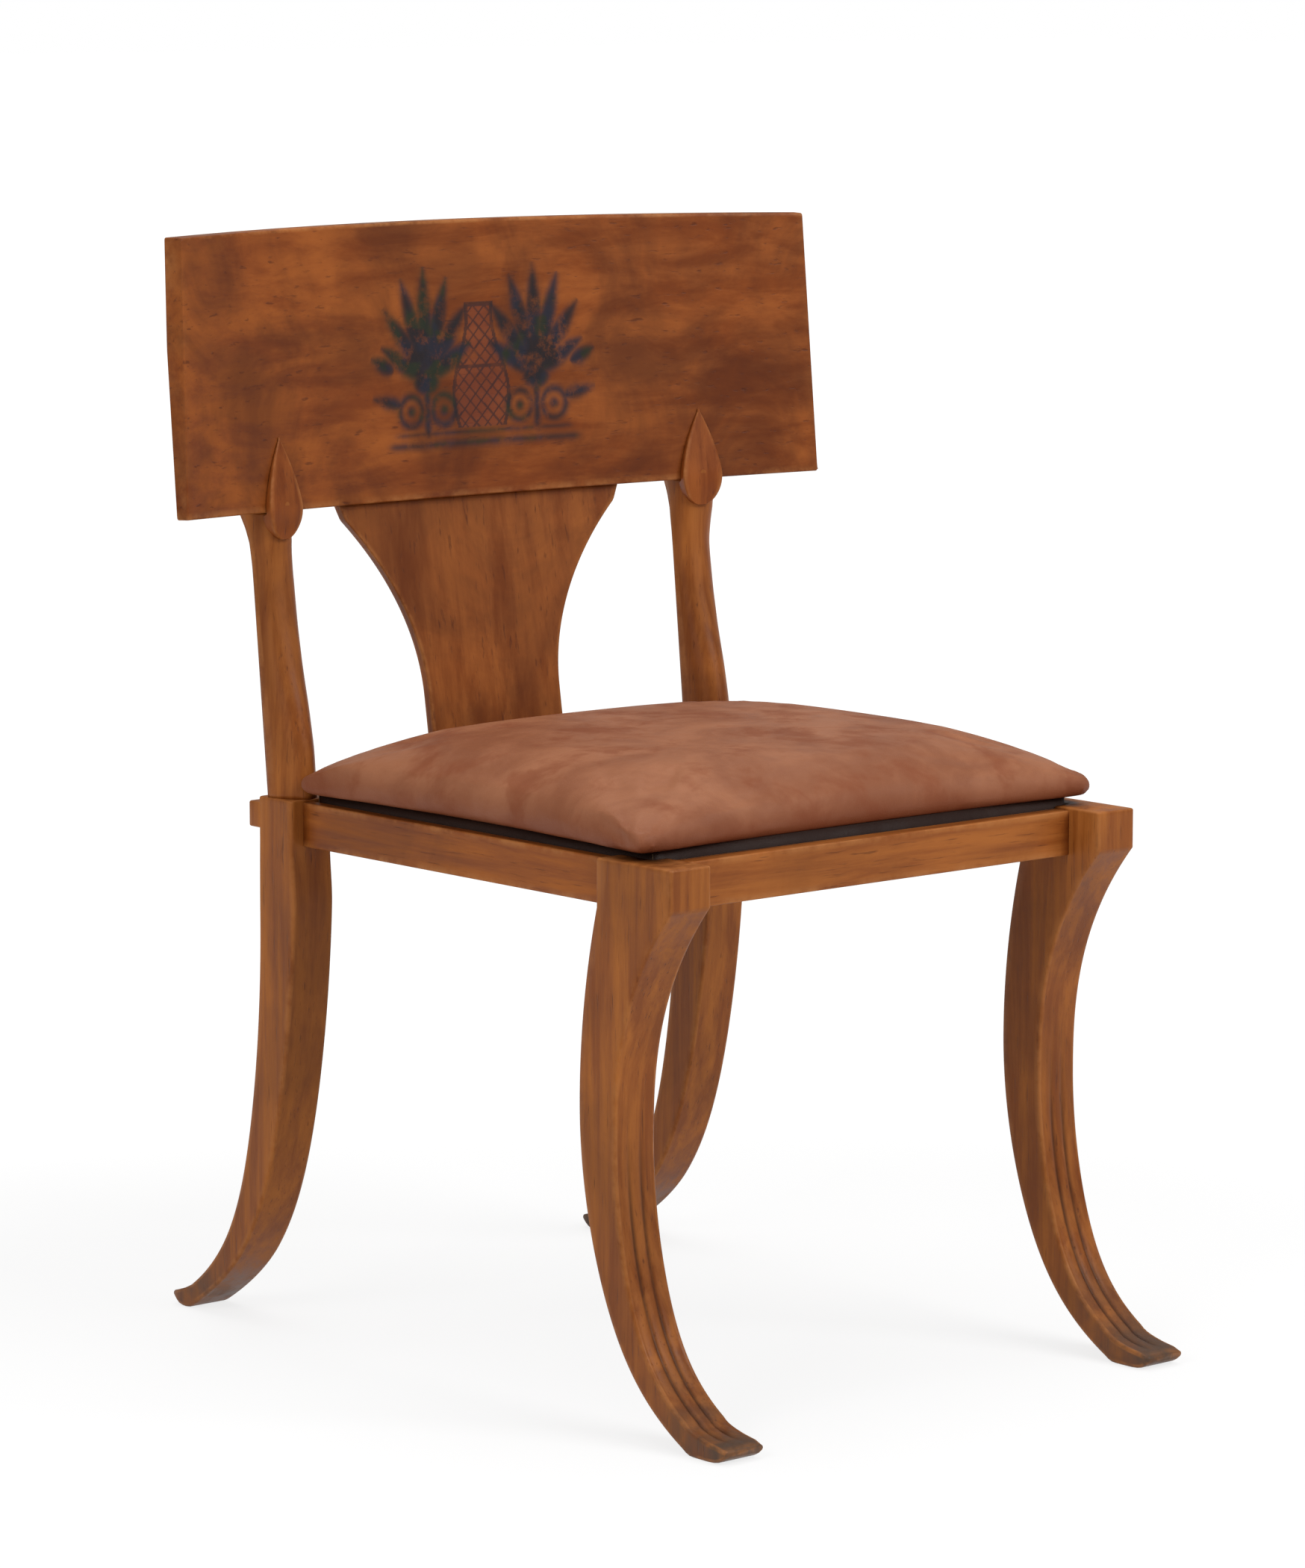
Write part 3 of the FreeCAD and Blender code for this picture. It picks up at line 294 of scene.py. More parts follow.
def makeLeg(name, centre, upper, lower, block):
    # loops across the leg carried down between its two edge lines; its outer edge is reeded
    r = leg["edgeRadius"]
    flagA, flagB, offA, offB, arcs = roundedLoop(r, 35, 7)
    count = leg["stations"]
    # the block above: straight rows, the top edge rounded
    depth, inset = endRows(leg["topRadius"])
    top = s["top"]
    heights = np.concatenate([top - depth[::-1], np.linspace(top - 4, leg["hornUnder"] + 1.5, 6)])
    rows = len(heights)
    up, low = [np.concatenate([np.stack([np.full(rows, y), heights], axis=-1),
                               evenAlong(edgeLine(edges[key]), count)])
               for y, key in zip(block, (upper, lower))]
    shrink = np.concatenate([inset[::-1], np.zeros(6 + count - 3), [0.0, 0.5, 1.2]])
    down = np.concatenate([np.zeros(rows), np.linspace(0, 1, count)])
    middle = (up + low) / 2
    half = np.hypot(*(up - low).T) / 2
    across = (up - low) / (2 * half[:, None])
    half = half - shrink
    wide = leg["halfWidth"] - shrink
    a = flagA * (wide[:, None] - r) + offA
    b = flagB * np.maximum(half[:, None] - r, 0.05) + offB
    # reeds: two grooves and three crowned bands on the reeded edge, fading in below the horn
    face = np.clip((flagB - 0.96) / 0.04, 0, 1) * (arcs < 1)
    groove = sum(np.exp(-((a - way * leg["reedPitch"] / 2) / leg["reedWidth"]) ** 2) for way in (-1, 1))
    crown = np.cos(a / leg["reedPitch"] * 2 * math.pi) * 0.5 - 0.5
    fade = smoothStep(down, *leg["reedsIn"]) * (1 - smoothStep(down, *leg["reedsOut"]))
    b = b - face * fade[:, None] * (leg["reedDepth"] * groove - leg["reedCrown"] * crown)
    points = np.zeros(a.shape + (3,))
    points[..., 0] = centre + a
    points[..., 1] = middle[:, 0, None] + across[:, 0, None] * b
    points[..., 2] = middle[:, 1, None] + across[:, 1, None] * b
    rim = arcs * (0.55 + 0.45 * down[:, None]) + (shrink > 0)[:, None] * 0.5
    toe = smoothStep(down, leg["toeFrom"], 1.0)[:, None] * np.ones_like(a)
    marks = {"rim": np.clip(rim, 0, 1), "toe": toe, "groove": face * groove * fade[:, None]}
    return tube(name, points, marks)


def smallBlock(name, low, high, radius):
    # a box with rounded edges: rounded loops stacked from end to end
    flagA, flagB, offA, offB, edge = roundedLoop(radius, 3, 3)
    low, high = np.array(low, float), np.array(high, float)
    centre, half = (low + high) / 2, (high - low) / 2
    depth, inset = endRows(radius)
    z = np.concatenate([low[2] + depth[::-1], high[2] - depth])
    shrink = np.concatenate([inset[::-1], inset])
    a = flagA * (half[0] - shrink[:, None] - radius) + offA
    b = flagB * (half[1] - shrink[:, None] - radius) + offB
    points = np.stack([centre[0] + a, centre[1] + b, z[:, None] * np.ones_like(a)], axis=-1)
    rim = np.clip(edge + (shrink > 0)[:, None], 0, 1) * np.ones_like(a)
    return tube(name, points, {"rim": rim})


recess = s["halfWidth"] - s["sideThick"] + s["ledgeWidth"]
recessFront = -s["frontFace"] + s["frontThick"] - s["ledgeWidth"]
ledge = s["top"] - s["ledgeDrop"]
frontLegLeft = makeLeg("visual_front_leg_left", -leg["frontCentre"], "frontShin", "frontCalf",
                       leg["frontBlock"])
cutAway(frontLegLeft, (-recess, recessFront, ledge), (recess, s["backFace"], leg["cutTop"]))
frontLegRight = mirrorCopy("visual_front_leg_right", frontLegLeft)
rearPost = makeLeg("rear_post", -leg["rearCentre"], "rearCalf", "rearShin", leg["rearBlock"])
rearHorn = smallBlock("rear_horn", leg["hornLow"], leg["hornHigh"], leg["hornRadius"])
rearLegLeft = joined("visual_rear_leg_left", [rearPost, rearHorn])
rearLegRight = mirrorCopy("visual_rear_leg_right", rearLegLeft)
print("legs made")


def bar(name, profile, radius, start, end, alongX):
    # a cross-section carried along X or Y; every corner of the section is rounded by a short arc
    profile = np.asarray(profile, dtype=float)
    before, after = np.roll(profile, 1, axis=0), np.roll(profile, -1, axis=0)
    into = (before - profile) / np.linalg.norm(before - profile, axis=1, keepdims=True)
    out = (after - profile) / np.linalg.norm(after - profile, axis=1, keepdims=True)
    first, last = profile + into * radius, profile + out * radius
    arc, fill = 5, 6
    share = np.linspace(0, 1, arc)[None, :, None]
    # each corner as a quadratic curve from one tangent point to the next
    curve = ((1 - share) ** 2 * first[:, None] + 2 * share * (1 - share) * profile[:, None]
             + share ** 2 * last[:, None])
    following = np.roll(first, -1, axis=0)
    side = last[:, None] + (following - last)[:, None] * np.linspace(0, 1, fill + 2)[None, 1:-1, None]
    loop = np.concatenate([curve, side], axis=1).reshape(-1, 2)
    rim = np.concatenate([np.ones((len(profile), arc)), np.zeros((len(profile), fill))], axis=1).ravel()
    place = np.linspace(start, end, 40)
    points = np.zeros((len(place), len(loop), 3))
    along, across = (0, 1) if alongX else (1, 0)
    points[..., along] = place[:, None]
    points[..., across] = loop[:, 0]
    points[..., 2] = loop[:, 1]
    return tube(name, points, {"rim": np.ones((len(place), 1)) * rim})


top = s["top"] - s["railDrop"]
low = top - s["railHeight"]
r = s["edgeRadius"]
outerX = s["halfWidth"]
innerX = outerX - s["sideThick"]
sideProfile = [(-outerX, low), (-innerX, low), (-innerX, ledge), (-recess, ledge),
               (-recess, top), (-outerX, top)]
sideRailLeft = bar("visual_side_rail_left", sideProfile, r, leg["frontBlock"][1] - 0.5,
                   s["backFace"] + 0.5, False)
sideRailRight = mirrorCopy("visual_side_rail_right", sideRailLeft)
face, inner = -s["frontFace"], -s["frontFace"] + s["frontThick"]
frontProfile = [(face, low), (inner, low), (inner, ledge), (recessFront, ledge),
                (recessFront, top), (face, top)]
frontRail = bar("visual_front_rail", frontProfile, r, -s["frontHalf"], s["frontHalf"], True)
face, inner = s["backFace"], s["backFace"] + s["backThick"]
backProfile = [(face, low), (inner, low), (inner, s["top"]), (face, s["top"])]
backRail = bar("visual_back_rail", backProfile, r, -s["backHalf"], s["backHalf"], True)
print("rails made")

crest = {
    "radius": 1200.0,
    "front": 232.7,
    "thick": 17.5,
    "lean": 0.053,
    "low": 667.0,
    "high": 886.0,
    "arch": 3.2,
    "halfTop": 326.0,  # half lengths at the top, midway and at the foot
    "halfMiddle": 329.0,
    "halfLow": 332.5,
    "bevelStart": 245.0,
    "bevelTop": 788.0,
    "bevelDeep": 7.5,
    "edgeRadius": 1.6,
}


def crestFront(x):
    c = crest
    return c["front"] - c["radius"] + np.sqrt(c["radius"] ** 2 - x ** 2)


def crestBack(x, z):
    # the curved back, cut by a flat bevel towards each lower corner
    c = crest
    outer = c["radius"] + c["thick"]
    back = c["front"] - c["radius"] + np.sqrt(outer ** 2 - x ** 2) + c["lean"] * (z - c["low"])
    near = crestFront(c["bevelStart"]) + c["thick"]
    far = crestFront(c["halfLow"]) + c["thick"] - c["bevelDeep"]
    across = (far - near) / (c["halfLow"] - c["bevelStart"])
    up = c["lean"] + c["bevelDeep"] / (c["bevelTop"] - c["low"])
    bevel = near + across * (np.abs(x) - c["bevelStart"]) + up * (z - c["low"])
    return np.minimum(back, bevel)


ornament = {
    "centre": 4.0,  # middle of the painted design on the crest's front
    "scale": 1.6,  # millimetres to one unit of the design
    "width": 240.0,
    "height": 162.0,
    "base": 705.0,  # its ground line
    "rise": 98.0,  # in units of the design
    "fine": 0.95,  # mesh spacing there
}

# the design in its own units: x from its middle, z up from its ground line
palmette = {
    "ground": ((1.5, 1.4, 62), (7, 0.7, 58)),  # height, half thickness and half length
    "stem": 36.0, "stemHalf": 2.2, "stemMiddle": 19.0, "stemRise": 14.0,
    "heart": 36.0, "boss": 34.0, "bossRadius": 8.5,
    "angles": (-62, -38, -17, 0, 17, 38, 62), "length": 56.0, "shorter": 22.0, "fat": 5.8,
    "volute": 11.0, "voluteRadius": 7.5, "voluteHalf": 1.7, "eye": 2.6,
    "leaves": ((58, 40, 1.15, 17, 4.2), (52, 22, 1.35, 22, 3.4)),  # x, z, angle, length, half width
}
vaseShape = {"foot": 9.0, "rim": 72.0, "band": 40.0, "half": 13.0, "swell": 5.0,
             "pitch": 0.42, "thread": 0.28}


def ornamentMask(x, z):
    # two traditional palmettes on scrolls above a ground line, as coverage from 0 to 1
    def soft(d, width=0.9):
        return 1 / (1 + np.exp(np.clip(d / width, -30, 30)))

    def petal(px, pz, angle, length, fat):
        # a pointed drop: half width grows as sin of the share along it
        c, s0 = math.cos(angle), math.sin(angle)
        along = (x - px) * s0 + (z - pz) * c
        across = (x - px) * c - (z - pz) * s0
        share = np.clip(along / length, 0, 1)
        half = fat * np.sin(math.pi * share ** 0.72) ** 0.8
        inside = np.where((along > 0) & (along < length), np.abs(across) - half, 9.0)
        return soft(inside)

    p = palmette
    parts = [soft(np.abs(z - height) - half) * soft(np.abs(x) - reach, 1.2)
             for height, half, reach in p["ground"]]
    for side in (-1, 1):
        stem = side * p["stem"]
        for angle in np.radians(p["angles"]):
            length = p["length"] - p["shorter"] * (abs(angle) / 1.1) ** 1.5
            parts.append(petal(stem, p["heart"], angle, length, p["fat"]))
        parts.append(soft(np.hypot(x - stem, (z - p["boss"]) * 1.2) - p["bossRadius"]))
        # the stem and its two volutes
        stalk = soft(np.abs(x - stem) - p["stemHalf"])
        parts.append(stalk * soft(np.abs(z - p["stemMiddle"]) - p["stemRise"]))
        for way in (-1, 1):
            away = np.hypot(x - stem - way * p["volute"], z - p["stemMiddle"])
            parts.append(soft(np.abs(away - p["voluteRadius"]) - p["voluteHalf"]))
            parts.append(soft(away - p["eye"]))
        for leafX, leafZ, angle, length, fat in p["leaves"]:
            parts.append(petal(side * leafX, leafZ, side * angle, length, fat))
    return np.clip(np.maximum.reduce(parts), 0, 1)


def ornamentTint(x, z):
    # the red-brown vase between the palmettes, and its dark outline and lattice
    v = vaseShape
    body = v["half"] + v["swell"] * np.sin(np.clip((z - 10) / 62, 0, 1) * math.pi * 1.5 + 0.4)
    vase = 1 / (1 + np.exp((np.abs(x) - body) / 0.9)) * (z > v["foot"]) * (z < v["rim"])
    lattice = np.abs(np.sin((x + z) * v["pitch"])) < v["thread"]
    lattice = lattice | (np.abs(np.sin((x - z) * v["pitch"])) < v["thread"])
    outline = (np.abs(np.abs(x) - body) < 1.1) | (np.abs(z - v["rim"]) < 1.2) | (np.abs(z - v["band"]) < 0.9)
    lines = (lattice & (np.abs(x) < body)) | (outline & (np.abs(x) < body + 1.2))
    return vase, lines * (z > v["foot"]) * (z < v["rim"] + 1)


def makeCrest():
    # a grid of two parameters: along the crest, and round its section,
    # from the front's foot up over the top and down the back
    c, o = crest, ornament
    r0 = c["edgeRadius"]
    cx = o["centre"]
    fineX = np.arange(cx - o["width"] / 2, cx + o["width"] / 2, o["fine"]) / c["halfMiddle"]
    depth, inset = endRows(r0)
    ends = 1 - depth / c["halfMiddle"]
    leftPart, rightPart = np.linspace(-ends[0], fineX[0], 34), np.linspace(fineX[-1], ends[0], 34)
    coarse = np.concatenate([leftPart[1:-1], fineX, rightPart[1:-1]])
    u = np.concatenate([-ends[::-1], coarse, ends])
    shrink = np.concatenate([inset[::-1], np.zeros(len(coarse)), inset])
    span = c["high"] - c["low"]
    lowFine = (o["base"] - 4 - c["low"]) / span
    highFine = lowFine + o["height"] / span
    fineZ = np.arange(lowFine, highFine, o["fine"] / span)
    w = np.concatenate([np.linspace(0, lowFine, 8)[:-1], fineZ, np.linspace(fineZ[-1], 1, 16)[1:]])
    # the section: t is depth as a share of the thickness, w height as a share,
    # fd and fz round its edges in mm, over the top at n and under the foot at m
    wAll = np.concatenate([w, [1] * 8, np.linspace(1, 0, 26)[1:-1], [0] * 8])
    tAll = np.concatenate([np.zeros(len(w)), [0] * 4, [1] * 4, np.ones(24), [1] * 4, [0] * 4])
    fz, fd = np.zeros(len(wAll)), np.zeros(len(wAll))
    arc = np.linspace(0, math.pi / 2, 4)
    into, over = r0 * (1 - np.cos(arc)), r0 * (1 - np.sin(arc))
    n = len(w)
    m = n + 8 + 24
    fd[n:n + 8], fz[n:n + 8] = [*into, *-into[::-1]], [*-over, *-over[::-1]]
    fd[m:m + 8], fz[m:m + 8] = [*-into, *into[::-1]], [*over, *over[::-1]]
    U, W = np.meshgrid(u, wAll, indexing="ij")
    x = U * (c["halfLow"] + (c["halfTop"] - c["halfLow"]) * W)
    bow = c["arch"] * (1 - U ** 2)
    zLow, zHigh = c["low"] - bow + shrink[:, None], c["high"] + bow - shrink[:, None]
    z = zLow + r0 + (zHigh - zLow - 2 * r0) * W + fz
    z = np.where(W >= 1, zHigh + fz, np.where(W <= 0, zLow + fz, z))
    z[:, 0] = zLow[:, 0] + r0
    z[:, n - 1] = zHigh[:, 0] - r0
    frontY = crestFront(x) + c["lean"] * (z - c["low"]) + shrink[:, None]
    x = x * (1 + tAll * c["thick"] / c["radius"])  # the ends are square to the curve
    backY = crestBack(x, z) - shrink[:, None]
    y = frontY + (backY - frontY) * tAll + fd
    points = np.stack([x, y, z], axis=-1)
    front = (tAll == 0) * (np.abs(U) < 0.9)
    dx, dz = (x - cx) / o["scale"], (z - o["base"]) / o["scale"]
    near = front & (np.abs(x - cx) < o["width"] / 2) & (dz > -2) & (dz < o["rise"])
    vase, lines = ornamentTint(dx, dz)
    rim = np.clip(np.minimum.reduce([np.abs(z - zLow), np.abs(zHigh - z)]) < 2.2, 0, 1) * 1.0
    rim = np.maximum(rim, (np.abs(U) > ends[0] - 0.002) * 0.25)
    marks = {"paint": ornamentMask(dx, dz) * near, "vase": vase * near, "lines": lines * near, "rim": rim}
    return tube("visual_crest_rail", points, marks)


crestRail = makeCrest()
print("crest made:", len(crestRail.data.vertices), "vertices")

splat = {
    "front": 206.3, "lean": 0.154, "thick": 9.0, "edgeRadius": 1.5,
    "half": 69.0, "flareStart": 503.0, "flareEnd": 653.0, "flareHalf": 142.0,
    "topHalf": 148.5, "topHeight": 669.2,  # the outline's last point, inside the crest
    "end": 667.3,  # the last row, then laid under the crest
}


def splatHalf(z):
    # straight below, then a parabola from the flare's start, then straight to the crest
    p = splat
    rise = p["flareEnd"] - p["flareStart"]
    t = (z - p["flareStart"]) / rise
    grow = np.clip(t, 0, 1) ** 2 * (p["flareHalf"] - p["half"])
    beyond = np.clip((z - p["flareEnd"]) / (p["topHeight"] - p["flareEnd"]), 0, None)
    return p["half"] + grow + beyond * (p["topHalf"] - p["flareHalf"])


def makeSplat():
    # rounded loops across the board, stacked from the back rail up to the crest's underside
    p = splat
    flagA, flagB, offA, offB, edge = roundedLoop(p["edgeRadius"], 60, 2)
    z0 = np.linspace(s["top"] + 0.05, p["end"], 90)
    half = splatHalf(z0)
    a = flagA * (half[:, None] - p["edgeRadius"]) + offA
    b = flagB * (p["thick"] / 2 - p["edgeRadius"]) + offB
    share = (z0 - z0[0])[:, None] / (z0[-1] - z0[0])
    under = crest["low"] - crest["arch"] * (1 - (a / crest["halfLow"]) ** 2) - 0.05
    z = z0[:, None] + (under - z0[-1]) * share ** 6
    y = p["front"] + p["lean"] * (z - s["top"]) - a ** 2 / (2 * crest["radius"]) + p["thick"] / 2 + b
    marks = {"rim": edge * np.ones_like(a)}
    return tube("visual_splat", np.stack([a, y, z], axis=-1), marks)


splatBoard = makeSplat()
print("splat made")

stile = {
    "centre": 221.0, "halfWidth": 18.75, "back": 209.0, "lean": 0.096,
    "heights": (438.0, 458.0, 477.0, 508.0, 540.5, 572.0, 604.0, 622.0, 640.0, 652.0, 665.0),
    "depths": (31.5, 32.3, 32.5, 28.5, 21.7, 17.0, 14.5, 15.0, 17.8, 23.5, 33.4),
    "backs": (0.0, 0.0, 0.0, 0.0, 0.0, 0.0, 0.0, 0.2, 1.4, 4.6, 10.2),
    "squares": (2.0, 3.2, 7.0),  # the section's power below, under the crest and in the prong
    "squaring": (610.0, 660.0), "wider": 0.25,
    "turning": (604.0, 655.0),  # where it turns to face along the crest
    "crestFoot": 665.0, "belly": 671.0, "tip": 724.0, "pearFoot": 643.0,
    "leafHalf": 19.0, "leafThick": 6.5, "leafFoot": 3.4, "leafTip": 1.4, "leafRadius": 1.1,
    "prong": 10.0, "prongTip": 3.0,
}


def noseLoop(cols, square):
    # a flat back and a rounded nose as a superellipse, in units of half width and depth
    angle = np.linspace(0, math.pi, cols - 13)
    c, s0 = np.cos(angle), np.sin(angle)
    a = np.sign(c) * np.abs(c) ** (2 / square[:, None])
    b = -np.abs(s0) ** (2 / square[:, None])
    flat = np.linspace(-1, 1, 15)[1:-1]
    a = np.concatenate([a, np.ones((len(square), 1)) * flat], axis=1)
    b = np.concatenate([b, np.zeros((len(square), 13))], axis=1)
    return a, b


def lancet(z, foot=None):
    # half width of the leaf: an arc from the belly up to the tip, and a half ellipse down to its foot
    p = stile
    t = np.clip((z - p["belly"]) / (p["tip"] - p["belly"]), 0, 1)
    half = p["leafHalf"] * (1 - 0.42 * t - 0.58 * t ** 2)
    if foot is not None:
        d = np.clip((p["belly"] - z) / (p["belly"] - foot), 0, 1)
        half = np.where(z < p["belly"], p["leafHalf"] * np.sqrt(np.clip(1 - d ** 2.3, 0, 1)), half)
    return half


def turned(points, share):
    # turns a fork's section about an upright line so that it faces along the crest's curve
    p = stile
    angle = math.asin(p["centre"] / crest["radius"]) * share
    c, s0 = np.cos(angle)[:, None], np.sin(angle)[:, None]
    a, b = points[..., 0], points[..., 1]
    out = points.copy()
    out[..., 0] = -p["centre"] + a * c - b * s0
    out[..., 1] = crestFront(p["centre"]) + a * s0 + b * c
    return out


def makeStile():
    p = stile
    foot, tip = p["crestFoot"], p["tip"]
    z = np.concatenate([np.linspace(s["top"] + 0.05, foot - 5, 70), [foot - 2, foot - 0.1]])
    depth = np.interp(z, p["heights"], p["depths"])
    kernel = np.hanning(9) / np.hanning(9).sum()
    padded = np.concatenate([[depth[0]] * 4, depth[:-2], [depth[-3]] * 4])
    depth[:-2] = np.convolve(padded, kernel, "valid")
    back = p["back"] + p["lean"] * (z - s["top"]) - crestFront(p["centre"])
    back = back + np.interp(z, p["heights"], p["backs"])
    below, under, prong = p["squares"]
    square = below + (under - below) * smoothStep(z, *p["squaring"])
    half = p["halfWidth"] + p["wider"] * smoothStep(z, *p["squaring"])
    # above the crest's foot only the prong behind the crest goes on
    zTop = np.concatenate([[foot], np.linspace(foot + 3, tip - 2, 24), [tip]])
    inner = crest["thick"] + crest["lean"] * (zTop - crest["low"]) + 0.1
    thick = p["prong"] + (p["prongTip"] - p["prong"]) * (zTop - foot) / (tip - foot)
    z = np.concatenate([z, zTop])
    depth = np.concatenate([depth, thick])
    back = np.concatenate([back, inner + thick])
    square = np.concatenate([square, np.full(len(zTop), prong)])
    half = np.concatenate([half, np.maximum(lancet(zTop), 0.3)])
    a, b = noseLoop(53, square)
    points = np.zeros(a.shape + (3,))
    points[..., 0] = a * half[:, None]
    points[..., 1] = back[:, None] + b * depth[:, None]
    points[..., 2] = z[:, None]
    points = turned(points, smoothStep(z, *p["turning"]))
    corner = (np.abs(a) > 0.96) & (b > -0.25)
    post = tube("post", points, {"rim": corner * 0.6, "leaf": np.zeros(corner.shape)})
    # the leaf in front of the crest, with a rounded pear-shaped foot that sinks into the post
    r0 = p["leafRadius"]
    flagA, flagB, offA, offB, edge = roundedLoop(r0, 9, 2)
    zLeaf = p["pearFoot"] + (tip - p["pearFoot"]) * (1 - np.cos(np.linspace(0.05, 1, 46) * math.pi)) / 2
    half = np.maximum(lancet(zLeaf, p["pearFoot"]), r0 + 0.05)
    rise = crest["lean"] * (zLeaf - crest["low"])
    swell = smoothStep(zLeaf, p["pearFoot"] - 2, p["belly"] - 6)
    thin = (p["leafTip"] - p["leafThick"]) * (zLeaf - p["belly"]) / (tip - p["belly"])
    front = np.where(zLeaf > p["belly"], p["leafThick"] + thin,
                     p["leafFoot"] + (p["leafThick"] - p["leafFoot"]) * swell)
    b0, b1 = rise - front, np.where(zLeaf > foot - 1, rise - 0.1, rise + 4.0)
    mid, deep = (b0 + b1) / 2, (b1 - b0) / 2
    a = flagA * np.maximum(half[:, None] - r0, 0.02) + offA
    b = flagB * np.maximum(deep[:, None] - r0, 0.02) + offB * np.minimum(1, deep[:, None] / r0)
    points = np.stack([a, mid[:, None] + b, zLeaf[:, None] * np.ones_like(a)], axis=-1)
    points = turned(points, np.ones(len(zLeaf)))
    rim = edge * (flagB < 0) * np.ones_like(a)
    leaf = tube("leaf", points, {"rim": rim, "leaf": np.ones_like(a)})
    return joined("visual_back_stile_left", [post, leaf])


stileLeft = makeStile()
stileRight = mirrorCopy("visual_back_stile_right", stileLeft)
print("stiles made")

cushion = {
    "halfWidth": 240.5, "front": 247.5, "back": 176.8,
    "square": 90.0, "squareInside": 10.0,  # power of the outline at the edge and well inside it
    "sideDraw": 10.5, "frontDraw": 6.0,
    "foot": 443.0, "edge": 448.8, "crown": 495.0, "fullness": 7.0, "softness": 0.4, "dip": 0.09,
    "tucks": (200, 120, 60, 24, 10, 4, 1.2, 0, 0.4, 2, 5, 11, 22, 42, 78, 125, 180),
    "levels": (0, 0, 0, 0, 0.4, 1.8, 3.6, 5.8),  # heights above the foot of the rings underneath
    "shrink": 1.5, "voxel": 0.005, "pressure": 2.0, "frames": 20, "cap": 0.004,
}


def squareRing(angle, power):
    # a rounded square by superellipse, in units of its half width
    cs, sn = np.cos(angle), np.sin(angle)
    radius = (np.abs(cs) ** power + np.abs(sn) ** power) ** (-1 / power)
    return radius * cs, radius * sn


def cushionRing(angle, tuck, draw):
    # the outline set in by tuck, its four sides drawn in between the corners
    c = cushion
    halfY, midY = (c["front"] + c["back"]) / 2, (c["back"] - c["front"]) / 2
    px, py = squareRing(angle, c["square"] - (c["square"] - c["squareInside"]) * min(1.0, tuck / 50.0))
    pullX = c["sideDraw"] * (1 - py ** 2) * np.abs(px) ** 3 * draw
    pullY = c["frontDraw"] * (1 - px ** 2) * np.abs(py) ** 3 * draw
    x = px * (c["halfWidth"] - tuck) - np.sign(px) * pullX
    y = midY + py * (halfY - tuck) - np.sign(py) * pullY
    return x, y


def crownHeight(x, y):
    # height above the edge: (1 - X^7)(1 - Y^7) to a low power, so the crown stays full to near its edge
    c = cushion
    halfY, midY = (c["front"] + c["back"]) / 2, (c["back"] - c["front"]) / 2
    px, py = np.clip(np.abs(x) / c["halfWidth"], 0, 1), np.clip(np.abs(y - midY) / halfY, 0, 1)
    bulge = (1 - px ** c["fullness"]) * (1 - py ** c["fullness"])
    dip = c["dip"] * (px ** 2 + py ** 2)
    return (c["crown"] - c["edge"]) * np.clip(bulge, 0, 1) ** c["softness"] * (1 - dip)


def makeCushion():
    # rings from the middle of the underside out to the sharp lower edge and over the crown
    c = cushion
    angle = np.linspace(0, 2 * math.pi, 240, endpoint=False)
    rings = []
    for k, tuck in enumerate(c["tucks"]):
        x, y = cushionRing(angle, tuck + c["shrink"], max(0, 1.2 - tuck / 120))
        under = k < len(c["levels"])
        z = np.full_like(x, c["foot"] + c["levels"][k]) if under else c["edge"] + crownHeight(x, y)
        rings.append(np.stack([x, y, z], axis=-1))
    return tube("leather_cushion", np.array(rings))


def inflate(piece):
    # cloth pressure fills the pad; every point then stays within the cap of where it began
    c = cushion
    addModifier(piece, "REMESH", mode="VOXEL", voxel_size=c["voxel"])
    applied(piece)
    count = len(piece.data.vertices)
    start = np.empty(count * 3, dtype=np.float32)
    piece.data.vertices.foreach_get("co", start)
    start = start.reshape(-1, 3)
    hold = piece.vertex_groups.new(name="hold")
    low = np.nonzero(start[:, 2] < (c["edge"] + 1.5) * mm)[0]
    hold.add(low.tolist(), 1.0, "REPLACE")
    cloth = addModifier(piece, "CLOTH")
    cloth.settings.use_pressure = True
    cloth.settings.uniform_pressure_force = c["pressure"]
    cloth.settings.vertex_group_mass = "hold"
    cloth.settings.effector_weights.gravity = 0
    cloth.settings.quality = 6
    cloth.collision_settings.use_collision = False
    scene = bpy.context.scene
    for step in range(1, c["frames"] + 1):
        scene.frame_set(step)
    graph = bpy.context.evaluated_depsgraph_get()
    moved = piece.evaluated_get(graph).data
    end = np.empty(count * 3, dtype=np.float32)
    moved.vertices.foreach_get("co", end)
    shift = end.reshape(-1, 3) - start
    length = np.linalg.norm(shift, axis=1, keepdims=True)
    shift *= np.minimum(1, c["cap"] / np.maximum(length, 1e-9))
    piece.modifiers.clear()
    piece.vertex_groups.clear()
    piece.data.vertices.foreach_set("co", (start + shift).ravel())
    piece.data.update()
    scene.frame_set(1)
    return piece


pad = makeCushion()
inflate(pad)
addModifier(pad, "SUBSURF", levels=1, render_levels=1)
applied(pad)
smooth(pad.data)
print("cushion made:", len(pad.data.polygons), "faces")


skirtSize = {"halfX": 216.8, "front": 234.8, "back": 175.8, "low": 426.3, "high": 444.4, "thick": 1.5,
             "under": 24.0, "square": 90.0}


